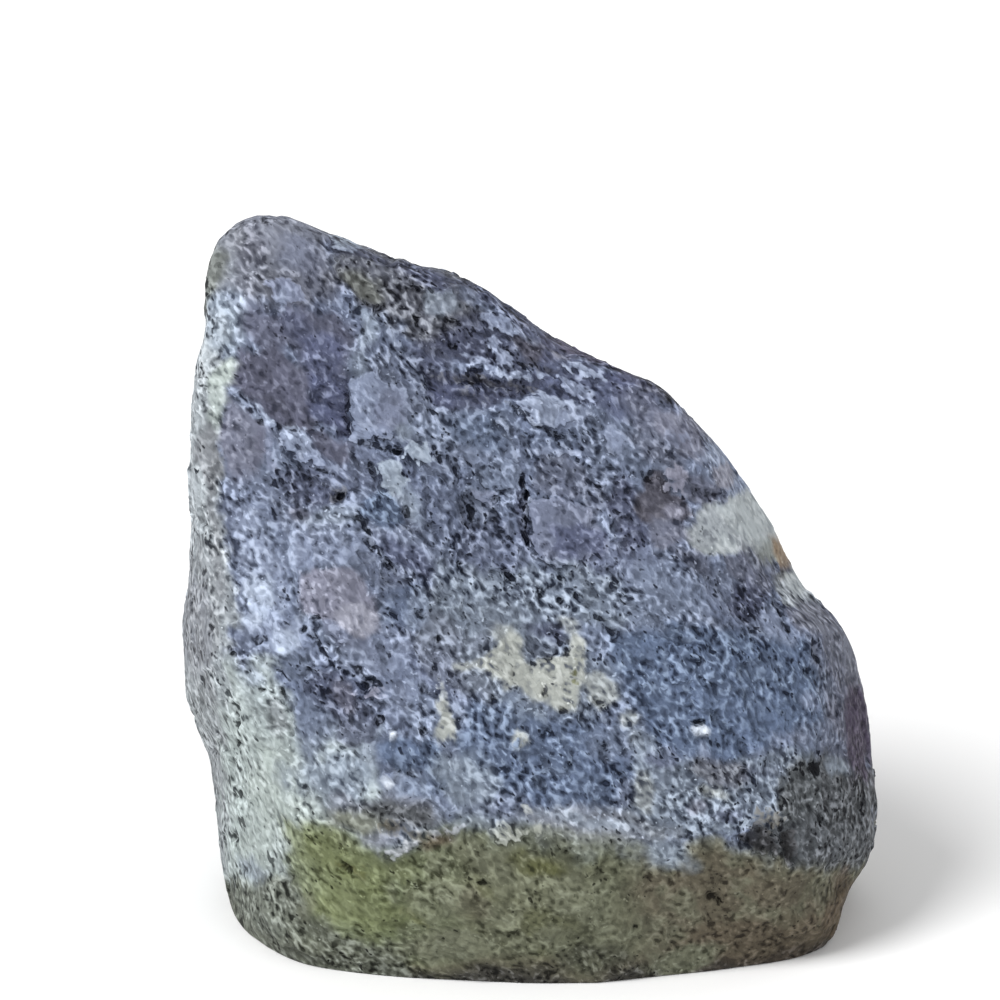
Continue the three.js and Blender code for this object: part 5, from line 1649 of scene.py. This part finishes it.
@dataclass(frozen=True)
class RockMaterial:
    """The stone's material: it reads the minerals from the skin and breaks them into grains.

    Lengths are in millimetres. A pair holds the two ends of a range.
    """

    name: str = "raw_iolite_rock"
    fine_size: float = 0.53  # the fine grain
    fine_bend: float = 0.6
    coarse_size: float = 1.4  # the coarse grain
    coarse_bend: float = 1.2
    stretch: float = 1.6  # how many times longer grains are along the rock
    pore_size: float = 0.44  # the dark specks
    pore_stretch: float = 1.9
    glint_size: float = 0.44  # the pale specks
    glint_stretch: float = 1.2
    speck_bend: float = 0.5
    ragged: float = 0.8  # how far the fine grain shakes the edges of flakes and cracks
    flake_edge: float = 0.24  # half the width of a flake's edge
    softness: float = 0.16  # how softly a grain's colour meets the ground
    fine_tone: float = 1.3  # how much the fine grain and the coarse one tell in a grain's value
    coarse_tone: float = 0.25
    pick_limit: float = 0.86  # the value above which no grain is picked at all
    pick_spread: float = 0.72  # how far that falls where the whole surface is picked
    pick_rise: float = 2.6  # how much longer a grain's colour takes to rise than to start
    shadow_band_rise: Pair = (-0.46, -0.22)  # painted shadow: from the open rock into the dark band beside a flake's unlit edge
    shadow_band_fall: Pair = (0.0, -0.14)  # from the flake's edge into it
    shadow_band_dark: float = 0.7
    crack_rise: Pair = (0.08, 0.3)
    crack_dark: float = 0.85
    crest_rise: Pair = (0.4, 0.12)  # from inside a flake to the edge that catches the light
    crest_light: float = 0.4
    glint_share: float = 0.4
    glint_gain: float = 1.45  # how bright a glint and a pore or painted shadow are
    pore_and_shadow_gain: float = 0.35
    glint_polish: float = 0.18  # how much smoother a glint is
    pore_height: float = -0.8  # what a pore and a coarse grain add to the fine grain's height
    coarse_height: float = 0.5
    relief: float = 0.36  # from the lowest to the highest grain
    grit: Pair = (0.1, 0.9)  # a smooth mineral and a rough one
    pale_gain: Pair = (1.1, 1.56)  # how bright their pale grains are
    dark_gain: Pair = (0.84, 0.31)  # how bright their dark grains are
    chip_tone: Pair = (0.86, 1.14)  # how bright a dark and a light chip are
    hollow: Pair = (-0.11, 0.16)  # painted light and shade: how much an edge is lightened and a hollow darkened
    edge_light_hollow_shade: Pair = (1.14, 0.62)  # how bright they are
    specular: float = 0.12

    def build(self) -> bpy.types.Material:
        """Build the material.

        Returns:
            The material.
        """
        material = bpy.data.materials.new(self.name)
        material.use_nodes = True
        material.node_tree.nodes.clear()
        sheet = RockSheet(material.node_tree, self)
        bump = sheet.tree.nodes.new("ShaderNodeBump")
        bump.inputs["Distance"].default_value = self.relief * METRES
        sheet.feed(bump.inputs["Height"], sheet.height())
        surface = sheet.tree.nodes.new("ShaderNodeBsdfPrincipled")
        surface.inputs["Specular IOR Level"].default_value = self.specular
        sheet.feed(surface.inputs["Base Color"], sheet.colour())
        sheet.feed(surface.inputs["Roughness"], sheet.roughness())
        sheet.feed(surface.inputs["Normal"], bump.outputs["Normal"])
        out = sheet.tree.nodes.new("ShaderNodeOutputMaterial")
        sheet.feed(out.inputs["Surface"], surface.outputs["BSDF"])
        return material


class RockSheet(NodeSheet):
    """The nodes that break the skin's minerals into grains."""

    def __init__(self, tree: bpy.types.NodeTree, rock: RockMaterial) -> None:
        """Place the nodes that the colour, the roughness and the height share.

        Args:
            tree: the material's node tree.
            rock: the material's sizes.
        """
        super().__init__(tree)
        self.rock = rock
        self.fine = self.grain(rock.fine_size, rock.fine_bend)
        self.coarse = self.grain(rock.coarse_size, rock.coarse_bend)
        self.shake = self.number("SUBTRACT", self.fine["Value"], 0.5)
        self.depth = self.number("MULTIPLY_ADD", self.shake, rock.ragged, self.attribute("flake_depth"))
        edge = self.eased(self.depth, -rock.flake_edge, rock.flake_edge)
        self.inside = self.number("MULTIPLY", edge, self.attribute("flake_share"))
        self.grit = self.shown("grit")
        self.pale_share = self.shown("pale_share")
        self.dark_share = self.shown("dark_share")
        self.lee = self.attribute("flake_lee")
        self.pores_and_shadows = self.all_pores_cracks_and_shadows()
        self.glints = self.all_glints()

    def place(self, size: float, stretch: float, bend: float) -> Socket:
        """Give the surface's place counted in grains of a size."""
        place = self.tree.nodes.new("ShaderNodeTexCoord").outputs["Object"]
        group = self.group(GrainPlace.tree(), Vector=place, Grain_Size=size, Stretch=stretch, Bend=bend)
        return group.outputs["Place"]

    def grain(self, size: float, bend: float) -> Sockets:
        """Give the tones of the rock's grain of a size."""
        place = self.place(size, self.rock.stretch, bend)
        return self.group(RockGrain.tree(), Place=place).outputs

    def shown(self, name: str) -> Socket:
        """Read a number of the ground and of the flake set in it, and give the one that shows."""
        ground = self.attribute(name)
        change = self.number("SUBTRACT", self.attribute("flake_" + name), ground)
        return self.number("MULTIPLY_ADD", change, self.inside, ground)

    def shown_colour(self, name: str) -> Socket:
        """Read a colour of the ground and of the flake set in it, and give the one that shows."""
        ground, flake = (self.attribute(prefix + name, "Color") for prefix in ("", "flake_"))
        return self.mixed(self.inside, ground, flake)

    def specks(self, size: float, stretch: float, share: Socket) -> Socket:
        """Give the mask of specks of a size that cover a share of the surface."""
        place = self.place(size, stretch, self.rock.speck_bend)
        return self.group(RockSpecks.tree(), Place=place, Share=share).outputs["Speck"]

    def all_pores_cracks_and_shadows(self) -> Socket:
        """Give the mask of everything that is darkest: pore specks, cracks, and a painted shadow beside the
        edges of flakes that are turned away from the light.
        """
        rock = self.rock
        share = self.number("MULTIPLY", self.dark_share, self.grit)
        specks = self.specks(rock.pore_size, rock.pore_stretch, share)
        # painted shadow: a dark band outside each raised flake's edge, on the side turned away from the light
        rising = self.eased(self.depth, *rock.shadow_band_rise)
        band = self.number("MULTIPLY", rising, self.eased(self.depth, *rock.shadow_band_fall))
        shaded_side = self.number("MULTIPLY", self.number("MAXIMUM", self.lee, 0.0), rock.shadow_band_dark)
        painted_shadows = self.number("MULTIPLY", band, shaded_side)
        split = self.number("MULTIPLY_ADD", self.shake, -rock.ragged, self.attribute("crack_depth"))
        cracks = self.eased(split, *rock.crack_rise, 0.0, rock.crack_dark)
        return self.number("MAXIMUM", specks, self.number("MAXIMUM", painted_shadows, cracks))

    def all_glints(self) -> Socket:
        """Give the mask of everything that is palest: glints, and the lit edges of flakes."""
        rock = self.rock
        share = self.number("MULTIPLY", self.pale_share, rock.glint_share)
        specks = self.specks(rock.glint_size, rock.glint_stretch, share)
        lit = self.number("MULTIPLY", self.lee, -rock.crest_light)
        crest = self.number("MULTIPLY", self.eased(self.depth, *rock.crest_rise), lit)
        return self.number("MAXIMUM", specks, self.number("MULTIPLY", crest, self.inside))

    def grains(self, value: Socket, share: Socket) -> Socket:
        """Pick that share of the grains with the highest values, with soft edges.

        Args:
            value: the grains' values.
            share: how much of the surface to pick.

        Returns:
            The mask, fainter where the rock has little vigour.
        """
        rock = self.rock
        limit = self.number("SUBTRACT", rock.pick_limit, self.number("MULTIPLY", share, rock.pick_spread))
        low = self.number("SUBTRACT", limit, rock.softness)
        high = self.number("MULTIPLY_ADD", rock.softness, rock.pick_rise, limit)
        return self.number("MULTIPLY", self.eased(value, low, high), self.attribute("vigour"))

    def colour(self) -> Socket:
        """Give the surface's colour.

        Returns:
            The ground's colour with pale and dark grains, glints, painted highlights on flake edges, pore
            specks, cracks and painted shadows beside flakes in it, lightened on edges and darkened in hollows
            as painted light and shade.
        """
        rock = self.rock
        value = self.number("MULTIPLY_ADD", self.shake, rock.fine_tone, 0.5)
        coarse = self.number("SUBTRACT", self.coarse["Value"], 0.5)
        value = self.number("MULTIPLY_ADD", coarse, rock.coarse_tone, value)
        pale = self.grains(value, self.pale_share)
        dark = self.grains(self.number("SUBTRACT", 1.0, value), self.dark_share)
        tone = self.eased(self.coarse["Flake"], 0.0, 1.0, *rock.chip_tone)
        tone = self.number("MULTIPLY", tone, self.attribute("tone"))
        pale_grain = self.shown_colour("pale_grain")
        dark_grain = self.shown_colour("dark_grain")
        colour = self.scaled(self.shown_colour("ground"), tone)
        for mask, grain, gain in (
            (pale, pale_grain, self.eased(self.grit, *rock.grit, *rock.pale_gain)),
            (dark, dark_grain, self.eased(self.grit, *rock.grit, *rock.dark_gain)),
            (self.glints, pale_grain, rock.glint_gain),
            (self.pores_and_shadows, dark_grain, rock.pore_and_shadow_gain),
        ):
            colour = self.mixed(mask, colour, self.scaled(grain, gain))
        # painted light and shade: edges are lightened and hollows darkened, by how deep each point lies
        return self.scaled(colour, self.eased(self.attribute("hollow"), *rock.hollow, *rock.edge_light_hollow_shade))

    def roughness(self) -> Socket:
        """Give the surface's roughness: glints are smoother."""
        return self.number("MULTIPLY_ADD", self.glints, -self.rock.glint_polish, self.shown("roughness"))

    def height(self) -> Socket:
        """Give the height of the grains, for the bump: rough minerals have more, and pore specks, cracks and
        the painted shadows beside flakes lie deep.
        """
        height = self.number("MULTIPLY_ADD", self.pores_and_shadows, self.rock.pore_height, self.fine["Value"])
        height = self.number("MULTIPLY_ADD", self.coarse["Value"], self.rock.coarse_height, height)
        return self.number("MULTIPLY", height, self.grit)


@dataclass(frozen=True)
class Lamp:
    """A wide, far light: where it comes from, how strong and how wide it is."""

    name: str
    azimuth: float  # degrees from the viewer's side, positive to the right
    elevation: float
    strength: float
    width: float  # degrees across


@dataclass(frozen=True)
class Studio:
    """The pale floor, the soft lights and the camera."""

    distance: float = 1.6  # metres from the camera to the stone
    view_width: float = 100.0  # millimetres across the picture at the stone
    look_at: Place = (-2.8, 48.0)  # across and up on the front plane
    room_light: float = 0.42
    floor_half: float = 4.0  # metres
    floor_drop: float = 0.0001  # metres that the floor lies below the stone
    floor_tone: float = 0.93
    lamps: tuple[Lamp, ...] = (
        Lamp("key", -52.0, 48.0, 2.7, 30.0),
        Lamp("fill", 40.0, 30.0, 0.7, 60.0),
        Lamp("back", 165.0, 50.0, 0.5, 60.0),
    )

    def build(self) -> None:
        """Build the studio."""
        self.floor()
        self.camera()
        self.world()
        for lamp in self.lamps:
            self.hang(lamp)
        bpy.context.scene.view_settings.view_transform = "Standard"
        bpy.context.scene.view_settings.look = "None"

    def floor(self) -> None:
        """Lay the pale floor."""
        sides = ((-1, -1), (1, -1), (1, 1), (-1, 1))
        corners = [(x * self.floor_half, y * self.floor_half, -self.floor_drop) for x, y in sides]
        mesh = bpy.data.meshes.new("floor")
        mesh.from_pydata(corners, [], [(0, 1, 2, 3)])
        floor = bpy.data.objects.new("floor", mesh)
        bpy.context.scene.collection.objects.link(floor)
        material = bpy.data.materials.new("pale_floor")
        material.use_nodes = True
        surface = material.node_tree.nodes["Principled BSDF"]
        surface.inputs["Base Color"].default_value = (self.floor_tone, self.floor_tone, self.floor_tone, 1.0)
        surface.inputs["Roughness"].default_value = 0.9
        surface.inputs["Specular IOR Level"].default_value = 0.0
        mesh.materials.append(material)

    def camera(self) -> None:
        """Set the camera on the line of sight, with a long lens."""
        data = bpy.data.cameras.new("camera")
        data.sensor_width = 36.0
        data.lens = data.sensor_width * self.distance / (self.view_width * METRES)
        data.clip_start = 0.05
        data.clip_end = 20.0
        camera = bpy.data.objects.new("camera", data)
        sight = Vector(FRONT.sight)
        camera.location = FRONT.point(*self.look_at) * METRES + sight * self.distance
        camera.rotation_euler = (-sight).to_track_quat("-Z", "Y").to_euler()
        bpy.context.scene.collection.objects.link(camera)
        bpy.context.scene.camera = camera

    def world(self) -> None:
        """Fill the room with soft light."""
        world = bpy.data.worlds.new("room")
        world.use_nodes = True
        sky = world.node_tree.nodes["Background"]
        sky.inputs["Color"].default_value = (1.0, 1.0, 1.0, 1.0)
        sky.inputs["Strength"].default_value = self.room_light
        bpy.context.scene.world = world

    @staticmethod
    def hang(lamp: Lamp) -> None:
        """Hang a lamp so that it shines on the stone."""
        data = bpy.data.lights.new(lamp.name, "SUN")
        data.energy = lamp.strength
        data.angle = math.radians(lamp.width)
        light = bpy.data.objects.new(lamp.name, data)
        azimuth = math.radians(lamp.azimuth)
        elevation = math.radians(lamp.elevation)
        flat = math.cos(elevation)
        towards = Vector((flat * math.sin(azimuth), -flat * math.cos(azimuth), math.sin(elevation)))
        light.location = towards
        light.rotation_euler = (-towards).to_track_quat("-Z", "Y").to_euler()
        bpy.context.scene.collection.objects.link(light)


def main() -> None:
    """Build the studio and the stone, in order."""
    logging.basicConfig(level=logging.INFO, format="%(name)s: %(message)s")
    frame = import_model()
    Studio().build()
    LOG.info("studio is up")
    stone = StoneSkin().build(frame["nodes"][NODE])
    stone.data.materials.append(RockMaterial().build())
    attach(stone, "root")
    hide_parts(NODE)
    LOG.info("%s: %d faces", stone.name, len(stone.data.polygons))


if __name__ == "__main__":
    main()
